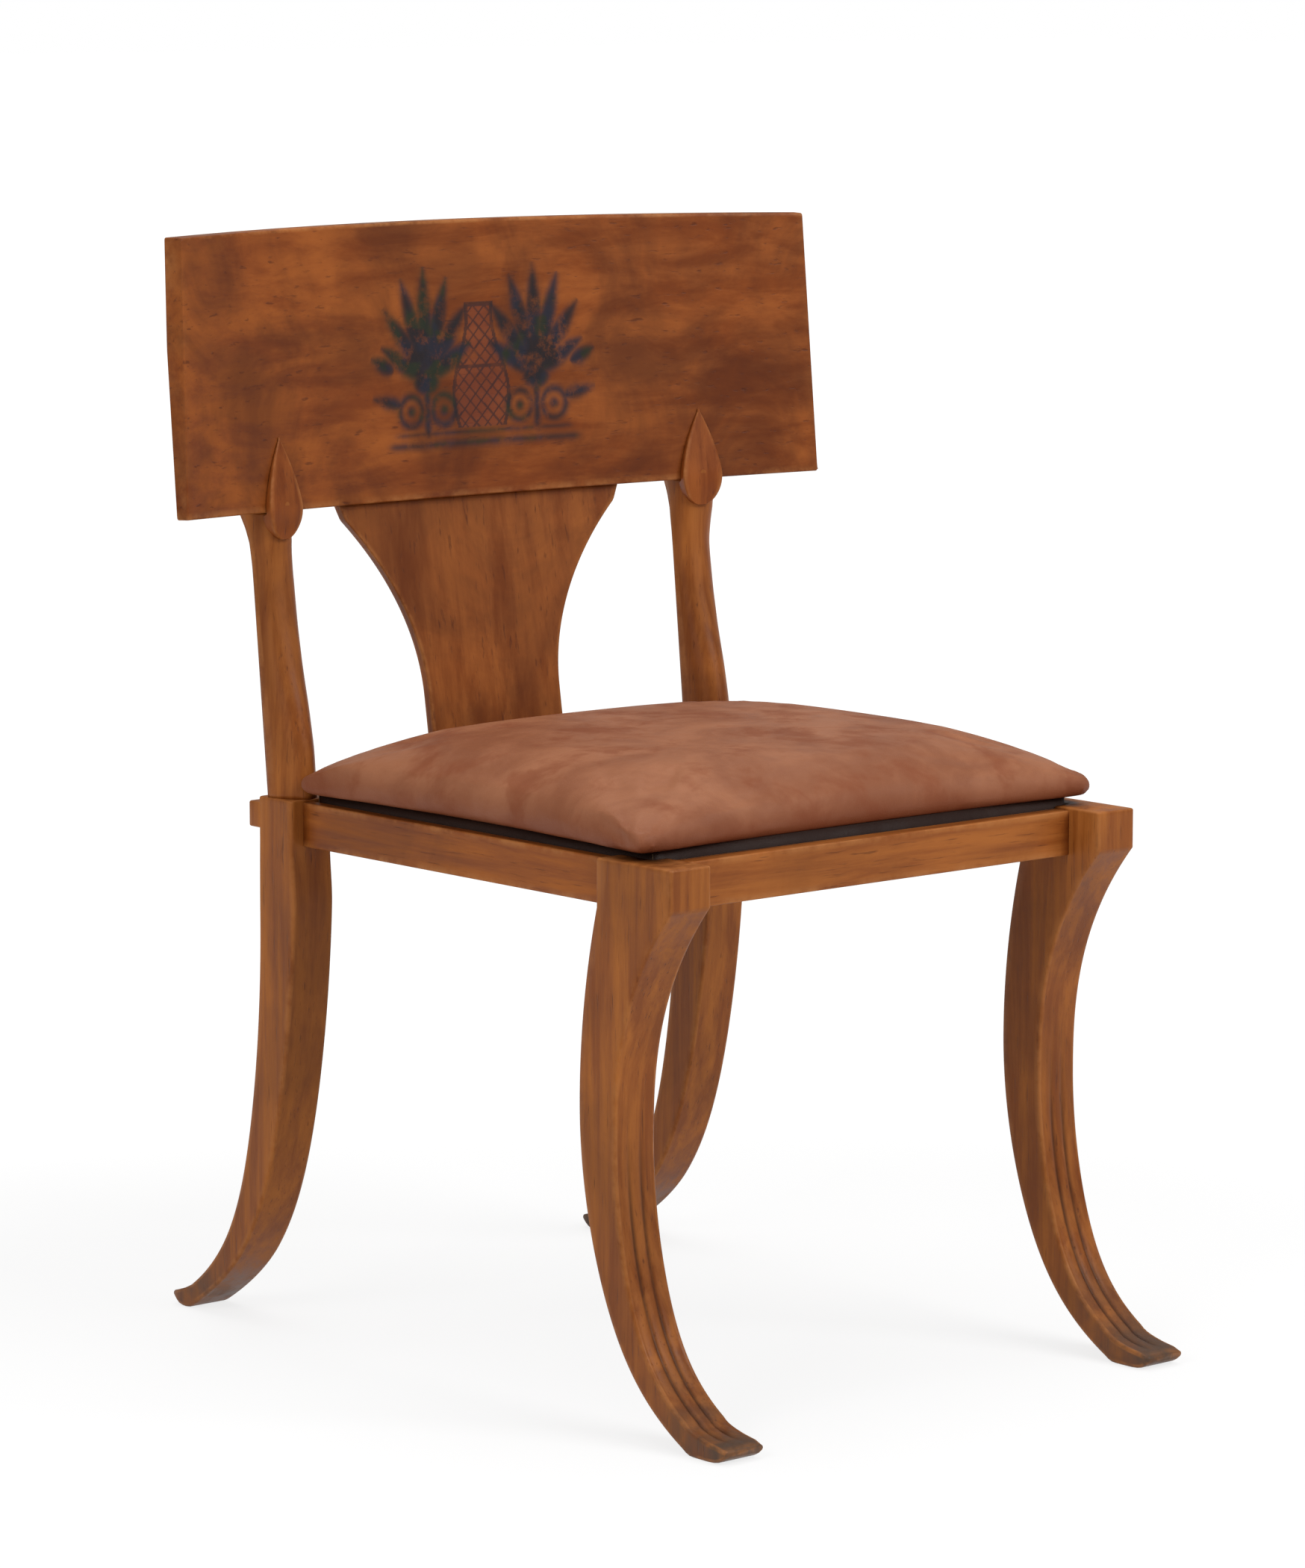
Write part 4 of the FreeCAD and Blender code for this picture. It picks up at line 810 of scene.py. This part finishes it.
def makeSkirt():
    # leather down the seat frame's sides and turned under it:
    # a thin hooked profile carried round a rounded rectangle
    c = skirtSize
    low, high, thick, under = c["low"], c["high"], c["thick"], c["under"]
    profile = np.array([[0, high], [0, low + 2.2], [0.6, low + 0.7], [2.2, low], [under, low],
                        [under, low + thick], [2.6, low + thick], [thick + 0.3, low + 2.6],
                        [thick, low + 4], [thick, high]])
    angle = np.linspace(0, 2 * math.pi, 360, endpoint=False)
    px, py = squareRing(angle, c["square"])
    halfY, midY = (c["back"] + c["front"]) / 2, (c["back"] - c["front"]) / 2
    x = px[:, None] * (c["halfX"] - profile[:, 0])
    y = midY + py[:, None] * (halfY - profile[:, 0])
    points = np.stack([x, y, np.ones_like(x) * profile[:, 1]], axis=-1)
    rows, cols = points.shape[:2]
    i, j = np.meshgrid(np.arange(rows), np.arange(cols), indexing="ij")
    quads = gridQuads(i, (i + 1) % rows, j, (j + 1) % cols, cols)
    return outward(meshFromArrays("leather_skirt", points, quads))


skirt = makeSkirt()
print("skirt made")


class Net:
    # short names for placing, setting and joining shader nodes
    def __init__(self, tree):
        self.tree = tree

    def add(self, kind, **settings):
        node = self.tree.nodes.new("ShaderNode" + kind)
        for key, value in settings.items():
            setattr(node, key, value)
        return node

    def put(self, socket, value):
        if isinstance(value, bpy.types.NodeSocket):
            self.tree.links.new(value, socket)
        else:
            socket.default_value = value

    def fill(self, node, **values):
        # inputs by name, with _ for a space
        for key, value in values.items():
            self.put(node.inputs[key.replace("_", " ")], value)
        return node.outputs

    def math(self, operation, a, b=None, clamp=False):
        node = self.add("Math", operation=operation, use_clamp=clamp)
        self.put(node.inputs[0], a)
        if b is not None:
            self.put(node.inputs[1], b)
        return node.outputs[0]

    def times(self, a, b, clamp=False):
        return self.math("MULTIPLY", a, b, clamp)

    def plus(self, a, b):
        return self.math("ADD", a, b)

    def noise(self, vector, scale, detail=4.0, rough=0.55, distortion=0.0):
        return self.fill(self.add("TexNoise"), Vector=vector, Scale=scale, Detail=detail, Roughness=rough,
                         Distortion=distortion)["Fac"]

    def remap(self, value, low, high, newLow=0.0, newHigh=1.0):
        node = self.add("MapRange", clamp=True, interpolation_type="SMOOTHSTEP")
        made = self.fill(node, Value=value, From_Min=low, From_Max=high, To_Min=newLow, To_Max=newHigh)
        return made["Result"]

    def mix(self, factor, a, b, blend="MIX"):
        node = self.add("Mix", data_type="RGBA", blend_type=blend, clamp_factor=True)
        for index, value in ((0, factor), (6, a), (7, b)):
            self.put(node.inputs[index], value)
        return node.outputs[2]

    def mapping(self, vector, scale=(1, 1, 1), move=(0, 0, 0)):
        return self.fill(self.add("Mapping"), Vector=vector, Scale=scale, Location=move)["Vector"]


def nodeGroup(name, inputs, outputs):
    # an empty group, its net, what it is given, and the node that takes what it makes
    group = bpy.data.node_groups.new(name, "ShaderNodeTree")
    for label, kind, default in inputs:
        socket = group.interface.new_socket(label, in_out="INPUT", socket_type="NodeSocket" + kind)
        if default is not None:
            socket.default_value = default
    for label, kind in outputs:
        group.interface.new_socket(label, in_out="OUTPUT", socket_type="NodeSocket" + kind)
    return group, Net(group), group.nodes.new("NodeGroupInput").outputs, group.nodes.new("NodeGroupOutput")


def woodGrainGroup():
    # streaks along the grain, short dark pores and broad clouding; Vector comes stretched along the grain
    given = [("Vector", "Vector", None), ("Plain Vector", "Vector", None), ("Cloud Scale", "Float", 7.0)]
    made = [("Streak", "Float"), ("Pore", "Float"), ("Cloud", "Float"), ("Height", "Float")]
    group, net, given, out = nodeGroup("woodGrain", given, made)
    warp = net.noise(given["Plain Vector"], 4.0, 3, 0.5)
    streak = net.noise(given["Vector"], 1.0, 8, 0.62, 0.35)
    fibre = net.noise(given["Vector"], 3.2, 5, 0.7, 0.1)
    pore = net.noise(given["Vector"], 7.0, 2, 0.5)
    cloud = net.noise(given["Plain Vector"], given["Cloud Scale"], 5, 0.6, 0.6)
    bent = net.times(net.math("SUBTRACT", warp, 0.5), 0.25)
    streakMask = net.remap(net.plus(streak, bent), 0.32, 0.68)
    poreMask = net.times(net.remap(pore, 0.6, 0.72), net.remap(fibre, 0.4, 0.6))
    height = net.math("SUBTRACT", net.times(fibre, 0.6), net.times(poreMask, 0.7))
    net.fill(out, Streak=streakMask, Pore=poreMask, Cloud=net.remap(cloud, 0.3, 0.7), Height=height)
    return group


def wearAndShadeGroup():
    # broken-up rubbing on edges, and dirt with painted shade that stays in hollows, from the piece's own
    # marks
    given = [("Vector", "Vector", None), ("Rim", "Float", 0.0), ("Groove", "Float", 0.0)]
    made = [("Rub", "Float"), ("Dirt", "Float"), ("Scuff", "Float")]
    group, net, given, out = nodeGroup("wearAndShade", given, made)
    patch = net.noise(given["Vector"], 26.0, 5, 0.65)
    fine = net.noise(given["Vector"], 140.0, 3, 0.6)
    broken = net.remap(net.plus(patch, net.times(fine, 0.35)), 0.52, 0.86)
    held = net.remap(patch, 0.2, 0.6, 0.45, 1.0)
    net.fill(out, Rub=net.times(given["Rim"], broken), Dirt=net.times(given["Groove"], held, clamp=True),
             Scuff=net.remap(net.noise(given["Vector"], 60.0, 6, 0.75), 0.62, 0.78))
    return group


woodGrain = woodGrainGroup()
wearAndShade = wearAndShadeGroup()


def emptyTree(owner):
    owner.use_nodes = True
    owner.node_tree.nodes.clear()
    return Net(owner.node_tree)


def newMaterial(name):
    material = bpy.data.materials.new(name)
    net = emptyTree(material)
    shader = net.add("BsdfPrincipled")
    net.fill(net.add("OutputMaterial"), Surface=shader.outputs["BSDF"])
    return material, net, shader


def placeGroup(net, group, **values):
    return net.fill(net.add("Group", node_tree=group), **values)


def attribute(net, name):
    return net.add("Attribute", attribute_name=name).outputs["Fac"]


def bump(net, shader, height, strength, distance):
    made = net.fill(net.add("Bump"), Strength=strength, Distance=distance, Height=height)
    net.fill(shader, Normal=made["Normal"])


woodLook = {
    "dark": (0.060, 0.013, 0.003, 1), "mid": (0.235, 0.062, 0.010, 1), "light": (0.40, 0.130, 0.025, 1),
    # the last colour on the next line darkens the reed grooves: painted shade with dirt
    "rub": (0.42, 0.16, 0.045, 1), "toeGrey": (0.085, 0.053, 0.036, 1), "shade_and_dirt": (0.025, 0.008, 0.003, 1),
    "leafTint": (0.78, 0.64, 0.55, 1),  # brings the stile's leaf down to the crest's darker wood
    "pores": 0.55, "rubbing": 0.7, "shade_and_soiling": 0.8,
    "roughness": (0.36, 0.6), "specular": 0.16, "coat": 0.02, "coatRoughness": 0.3,
}


def showWood(name, stretch, offset=(0, 0, 0), cloudScale=7.0, cloudiness=0.45, tone=(1, 1, 1), painted=False):
    # stained, waxed and worn hardwood; stretch is large across the grain and small along it
    material, net, shader = newMaterial(name)
    look = woodLook
    place = net.add("TexCoord").outputs["Object"]
    plain = net.mapping(place, move=offset)
    grain = placeGroup(net, woodGrain, Vector=net.mapping(place, scale=stretch, move=offset),
                       Plain_Vector=plain, Cloud_Scale=cloudScale)
    wornAndShaded = placeGroup(net, wearAndShade, Vector=plain, Rim=attribute(net, "rim"), Groove=attribute(net, "groove"))
    dark, mid, light = [tuple(np.array(tone) * look[key][:3]) + (1,) for key in ("dark", "mid", "light")]
    color = net.mix(grain["Streak"], mid, light)
    color = net.mix(net.times(grain["Cloud"], cloudiness), color, dark)
    color = net.mix(net.times(grain["Pore"], look["pores"]), color, dark)
    color = net.mix(attribute(net, "leaf"), color, look["leafTint"], "MULTIPLY")
    toe = attribute(net, "toe")
    toeMask = net.times(toe, net.remap(grain["Cloud"], 0.0, 0.7, 0.35, 0.95))
    color = net.mix(toeMask, color, look["toeGrey"])
    color = net.mix(net.times(wornAndShaded["Rub"], look["rubbing"]), color, look["rub"])
    # painted shade with dirt: the reed grooves darkened
    color = net.mix(net.times(wornAndShaded["Dirt"], look["shade_and_soiling"]), color, look["shade_and_dirt"])
    rough = net.remap(net.plus(grain["Streak"], net.times(wornAndShaded["Scuff"], 0.6)), 0.0, 1.4,
                      *look["roughness"])
    if painted:
        color, rough = paintOrnament(net, plain, color, rough)
    net.fill(shader, Base_Color=color, Roughness=rough, Coat_Weight=look["coat"],
             Coat_Roughness=look["coatRoughness"], Specular_IOR_Level=look["specular"])
    bump(net, shader, grain["Height"], 0.35, 0.0006)
    return material


paintLook = {
    "black": (0.012, 0.011, 0.014, 1), "blue": (0.013, 0.016, 0.028, 1),
    "green": (0.013, 0.022, 0.012, 1), "red": (0.19, 0.045, 0.022, 1),
}


def paintOrnament(net, plain, color, rough):
    # old paint, thin and rubbed: black with blue and green passages, a red-brown vase with dark lines
    worn = net.noise(plain, 70.0, 6, 0.7)
    cover = net.remap(worn, 0.32, 0.52, 0.55, 0.98)
    blue = net.remap(net.noise(plain, 32.0, 3, 0.5), 0.45, 0.6)
    green = net.remap(net.noise(net.mapping(plain, move=(0.3, 0.1, 0.7)), 38.0, 3, 0.5), 0.5, 0.62)
    dark = net.mix(green, net.mix(blue, paintLook["black"], paintLook["blue"]), paintLook["green"])
    for mark, share, tint in (("vase", 0.6, "red"), ("lines", 0.7, "black")):
        covered = net.times(attribute(net, mark), cover)
        color = net.mix(net.times(covered, share), color, paintLook[tint])
    mask = net.times(attribute(net, "paint"), cover)
    color = net.mix(mask, color, dark)
    rough = net.plus(rough, net.times(mask, 0.12))
    return color, rough


along, across = 5.0, 75.0
broad = across * 0.6
legWood = [showWood("leg_wood_%d" % k, (across, across, along), (k * 0.37, k * 0.21, k * 0.13), 8.0, 0.35)
           for k in range(4)]
# the side rails' wood toned darker than the front rail's: painted shade on faces turned from the light
sideWoodShaded = showWood("side_rail_wood_shaded", (across, along, across), (0.2, 0.4, 0.1), 9.0, 0.35, (0.9, 0.82, 0.75))
frontWood = showWood("front_rail_wood", (along, across, across), (0.7, 0.3, 0.5), 9.0, 0.3,
                     (0.98, 0.95, 0.95))
backWood = showWood("back_rail_wood", (along, across, across), (0.1, 0.9, 0.5), 9.0, 0.3)
crestWood = showWood("crest_wood", (along * 1.6, broad, broad), (0.4, 0.2, 0.3), 11.0, 0.66,
                     (0.86, 0.72, 0.62), painted=True)
splatWood = showWood("splat_wood", (broad, broad, along), (0.6, 0.1, 0.8), 10.0, 0.5, (0.92, 0.84, 0.8))
stileWood = [showWood("stile_wood_%d" % k, (across, across, along), (k * 0.47, 0.3, k * 0.2), 8.0, 0.4)
             for k in range(2)]
print("wood ready")

leatherColors = {
    "mid": (0.25, 0.084, 0.036, 1), "light": (0.36, 0.140, 0.066, 1), "red": (0.22, 0.055, 0.018, 1),
    "dark": (0.17, 0.038, 0.011, 1),
}
leatherFinish = {
    "shade": (0.446, 0.474, 0.7),  # darker below, between these heights in metres, by this share
    "pebbles": 520.0, "specular": 0.22,
}


def leatherMaterial(name, tone=1.0):
    # old tan hide: soft mottling, reddish patches, fine pebbled grain and faint creases
    material, net, shader = newMaterial(name)
    look = {key: tuple(tone * v for v in color[:3]) + (1,) for key, color in leatherColors.items()}
    place = net.add("TexCoord").outputs["Object"]
    cloud = net.noise(place, 11.0, 5, 0.6, 0.5)
    patch = net.noise(net.mapping(place, move=(0.5, 0.2, 0.9)), 22.0, 4, 0.6, 0.3)
    color = net.mix(net.remap(cloud, 0.35, 0.65), look["mid"], look["light"])
    color = net.mix(net.times(net.remap(patch, 0.5, 0.68), 0.6), color, look["red"])
    high = net.add("SeparateXYZ")
    net.put(high.inputs[0], place)
    shadeLow, shadeHigh, share = leatherFinish["shade"]
    lower = net.remap(high.outputs["Z"], shadeLow, shadeHigh, share, 0.0)
    color = net.mix(lower, color, look["dark"])
    cell = net.fill(net.add("TexVoronoi", feature="DISTANCE_TO_EDGE"), Vector=place,
                    Scale=leatherFinish["pebbles"])
    pebble = net.remap(cell["Distance"], 0.0, 0.18)
    crease = net.remap(net.noise(place, 45.0, 5, 0.65, 1.2), 0.46, 0.52)
    height = net.plus(net.times(pebble, 0.35), net.times(crease, 0.25))
    net.fill(shader, Base_Color=color, Roughness=net.remap(patch, 0.3, 0.7, 0.46, 0.64),
             Specular_IOR_Level=leatherFinish["specular"])
    bump(net, shader, height, 0.3, 0.0006)
    return material


def plainWood(name, stretch):
    # unfinished sawn hardwood inside the seat
    material, net, shader = newMaterial(name)
    place = net.add("TexCoord").outputs["Object"]
    grain = placeGroup(net, woodGrain, Vector=net.mapping(place, scale=stretch), Plain_Vector=place,
                       Cloud_Scale=9.0)
    color = net.mix(grain["Streak"], (0.40, 0.24, 0.12, 1), (0.58, 0.40, 0.23, 1))
    color = net.mix(net.times(grain["Pore"], 0.6), color, (0.2, 0.11, 0.05, 1))
    net.fill(shader, Base_Color=color, Roughness=net.remap(grain["Cloud"], 0, 1, 0.62, 0.8))
    bump(net, shader, grain["Height"], 0.5, 0.0005)
    return material


def wovenMaterial(name, base, dark, pitch):
    # plain weave: threads over and under by two crossed waves
    material, net, shader = newMaterial(name)
    place = net.add("TexCoord").outputs["Object"]
    split = net.add("SeparateXYZ")
    net.put(split.inputs[0], place)
    waveX = net.math("SINE", net.times(split.outputs["X"], 2 * math.pi / pitch))
    waveY = net.math("SINE", net.times(split.outputs["Y"], 2 * math.pi / pitch))
    weave = net.remap(net.times(waveX, waveY), -1, 1)
    blotch = net.noise(place, 30.0, 4, 0.6)
    color = net.mix(weave, dark, base)
    color = net.mix(net.times(net.remap(blotch, 0.4, 0.7), 0.35), color, dark)
    net.fill(shader, Base_Color=color, Roughness=net.remap(blotch, 0.2, 0.8, 0.8, 0.95))
    bump(net, shader, weave, 0.5, 0.0004)
    return material


def metalMaterial(name, base, dull, roughness):
    # metal with tarnish and fine scratches
    material, net, shader = newMaterial(name)
    place = net.add("TexCoord").outputs["Object"]
    tarnish = net.remap(net.noise(place, 220.0, 4, 0.6), 0.4, 0.65)
    net.fill(shader, Base_Color=net.mix(tarnish, base, dull), Metallic=1.0,
             Roughness=net.remap(tarnish, 0, 1, roughness, roughness + 0.25))
    bump(net, shader, net.noise(place, 900.0, 2, 0.5), 0.1, 0.0002)
    return material


leather = leatherMaterial("old_leather")
# the skirt's leather at a tenth of the brightness: painted shadow under the cushion's overhang
skirtShadowLeather = leatherMaterial("skirt_leather_painted_shadow", 0.1)
blockWood = plainWood("block_wood", (60, 60, 8))
barWood = plainWood("bar_wood", (8, 70, 70))
sideBarWood = plainWood("side_bar_wood", (70, 8, 70))
brass = metalMaterial("aged_brass", (0.55, 0.36, 0.13, 1), (0.22, 0.14, 0.06, 1), 0.3)
tackMetal = metalMaterial("blued_tacks", (0.12, 0.13, 0.16, 1), (0.04, 0.04, 0.045, 1), 0.35)
webMaterial = wovenMaterial("jute_web", (0.45, 0.34, 0.2, 1), (0.2, 0.14, 0.07, 1), 0.003)
deckMaterial = wovenMaterial("hessian_weave", (0.42, 0.31, 0.17, 1), (0.16, 0.11, 0.05, 1), 0.0022)
dustMaterial = wovenMaterial("black_dust_cloth", (0.03, 0.03, 0.032, 1), (0.008, 0.008, 0.009, 1), 0.0012)
print("materials ready")


def dress(piece, material):
    piece.data.materials.clear()
    piece.data.materials.append(material)


def finishPiece(piece, material, body, slot, *stands):
    dress(piece, material)
    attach(piece, body)
    if stands:
        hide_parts(*stands)


for piece, material, node in (
        (frontLegLeft, legWood[0], "front_leg_left"), (frontLegRight, legWood[1], "front_leg_right"),
        (rearLegLeft, legWood[2], "rear_leg_left"), (rearLegRight, legWood[3], "rear_leg_right"),
        (sideRailLeft, sideWoodShaded, "side_rail_left"), (sideRailRight, sideWoodShaded, "side_rail_right"),
        (frontRail, frontWood, "front_rail"), (backRail, backWood, "back_rail"),
        (crestRail, crestWood, "crest_rail"), (splatBoard, splatWood, "splat"),
        (stileLeft, stileWood[0], "back_stile_left"), (stileRight, stileWood[1], "back_stile_right")):
    finishPiece(piece, material, "chair_frame", "show_wood", node)
finishPiece(pad, leather, "seat", "leather", "leather_cover", "seat_padding")
finishPiece(skirt, skirtShadowLeather, "seat", "leather")


def clothSheet(name, node, sag, material, slot):
    # a stretched cloth on its node's box: a grid that sags as the product of two half waves,
    # closed by its own thickness
    (_, y0, z0), (halfX, y1, _) = [np.array(corner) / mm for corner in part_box(node)]
    u = np.linspace(-1, 1, 41)
    X, V = np.meshgrid(u * halfX, u, indexing="ij")
    Y = (y0 + y1) / 2 + V * (y1 - y0) / 2
    drop = sag * np.cos(X / halfX * math.pi / 2) * np.cos(V * math.pi / 2)
    points = np.stack([X, Y, z0 + 0.05 - drop], axis=-1)
    j, i = np.meshgrid(np.arange(40), np.arange(40), indexing="ij")
    sheet = meshFromArrays(name, points, gridQuads(i, i + 1, j, j + 1, 41)[:, ::-1])
    addModifier(sheet, "SOLIDIFY", thickness=0.5 * mm, offset=1.0)
    applied(sheet)
    finishPiece(sheet, material, "seat", slot, node)


for start, material in (
        ("corner_block", blockWood), ("seat_frame_front", barWood), ("seat_frame_back", barWood),
        ("seat_frame_dowels", barWood), ("seat_frame_left", sideBarWood), ("seat_frame_right", sideBarWood),
        ("fork_peg_left", stileWood[0]), ("fork_peg_right", stileWood[1]), ("corner_screws", brass),
        ("cover_tacks", tackMetal), ("seat_webbing", webMaterial)):
    for name in nodes:
        if name.startswith(start):
            dress(nodes[name], material)
clothSheet("hessian_sheet", "hessian_deck", 0.0, deckMaterial, "hessian")
clothSheet("dust_sheet", "dust_cloth", 0.6, dustMaterial, "dust_cloth")
print("seat dressed")


stage = {
    "floor": 45.0,  # half its width in metres
    "grey": 0.82, "glow": 1.09,
    "near": 0.6, "far": 1.5, "nearShare": 0.72,  # it glows less near the chair, where shadows fall
    "ambient": 0.38,
    "lamps": (                              # name, place, target, size and power
        ("key_light", (1.2, -3.2, 2.9), (0, 0, 0.5), (2.4, 1.8), 85),
        ("left_light", (-3.2, -0.6, 2.2), (0, 0, 0.5), (1.8, 1.6), 36),
        ("top_light", (0.2, 0.4, 3.4), (0, 0, 0.4), (2.4, 2.4), 36),
    ),
}

photoCamera = {"place": (-3.0039, -3.4687, 1.1138), "toward": (0.64609, 0.74966, -0.14344),
               "lens": 133.42, "sensor": 36.0, "clip": 100.0}


def lit(net, kind, strength):
    return net.fill(net.add(kind), Color=(1, 1, 1, 1), Strength=strength)[0]


def mixOut(net, kind, share, first, second):
    # two shaders mixed by a share, into the tree's output
    mixer = net.add("MixShader")
    for socket, value in zip(mixer.inputs, (share, first, second)):
        net.put(socket, value)
    net.fill(net.add(kind), Surface=mixer.outputs[0])


def setFloor():
    # grey to the light that falls on it, white to the camera
    size = stage["floor"] / mm
    corners = np.array([[-size, -size, 0], [size, -size, 0], [size, size, 0], [-size, size, 0]])
    floor = meshFromArrays("floor", corners, np.array([[0, 1, 2, 3]]))
    material = bpy.data.materials.new("pale_floor")
    net = emptyTree(material)
    plain = net.fill(net.add("BsdfDiffuse"), Color=(stage["grey"],) * 3 + (1,))[0]
    bright = lit(net, "Emission", stage["glow"])
    seen = net.add("LightPath")
    mirrored = net.math("MAXIMUM", seen.outputs["Is Glossy Ray"], seen.outputs["Is Transmission Ray"])
    direct = net.math("MAXIMUM", seen.outputs["Is Camera Ray"], mirrored)
    away = net.add("VectorMath", operation="LENGTH")
    net.put(away.inputs[0], net.add("TexCoord").outputs["Object"])
    fade = net.remap(away.outputs["Value"], stage["near"], stage["far"], stage["nearShare"], 1.0)
    mixOut(net, "OutputMaterial", net.times(direct, fade), plain, bright)
    floor.data.materials.append(material)


def setWorld():
    # white to the camera, dimmer as a light
    world = bpy.data.worlds.new("studio")
    bpy.context.scene.world = world
    net = emptyTree(world)
    seen = net.add("LightPath")
    direct = net.math("MAXIMUM", seen.outputs["Is Camera Ray"], seen.outputs["Is Transmission Ray"])
    ambient = lit(net, "Background", stage["ambient"])
    mixOut(net, "OutputWorld", direct, ambient, lit(net, "Background", 1.0))


def softBox(name, place, target, size, power):
    lamp = bpy.data.lights.new(name, "AREA")
    lamp.shape = "RECTANGLE"
    lamp.size, lamp.size_y = size
    lamp.energy = power
    obj = placed(name, lamp)
    obj.location = place
    obj.rotation_euler = (Vector(target) - Vector(place)).to_track_quat("-Z", "Y").to_euler()


def setCamera():
    # the photograph's viewing angle: left of the front, a little above the crest
    data = bpy.data.cameras.new("photo_camera")
    data.sensor_fit = "AUTO"
    data.sensor_width = photoCamera["sensor"]
    data.lens = photoCamera["lens"]
    data.clip_end = photoCamera["clip"]
    camera = placed("photo_camera", data)
    camera.location = photoCamera["place"]
    camera.rotation_euler = Vector(photoCamera["toward"]).to_track_quat("-Z", "Y").to_euler()
    bpy.context.scene.camera = camera


setFloor()
setWorld()
for lamp in stage["lamps"]:
    softBox(*lamp)
setCamera()
bpy.context.scene.view_settings.view_transform = "Standard"
print("stage ready")
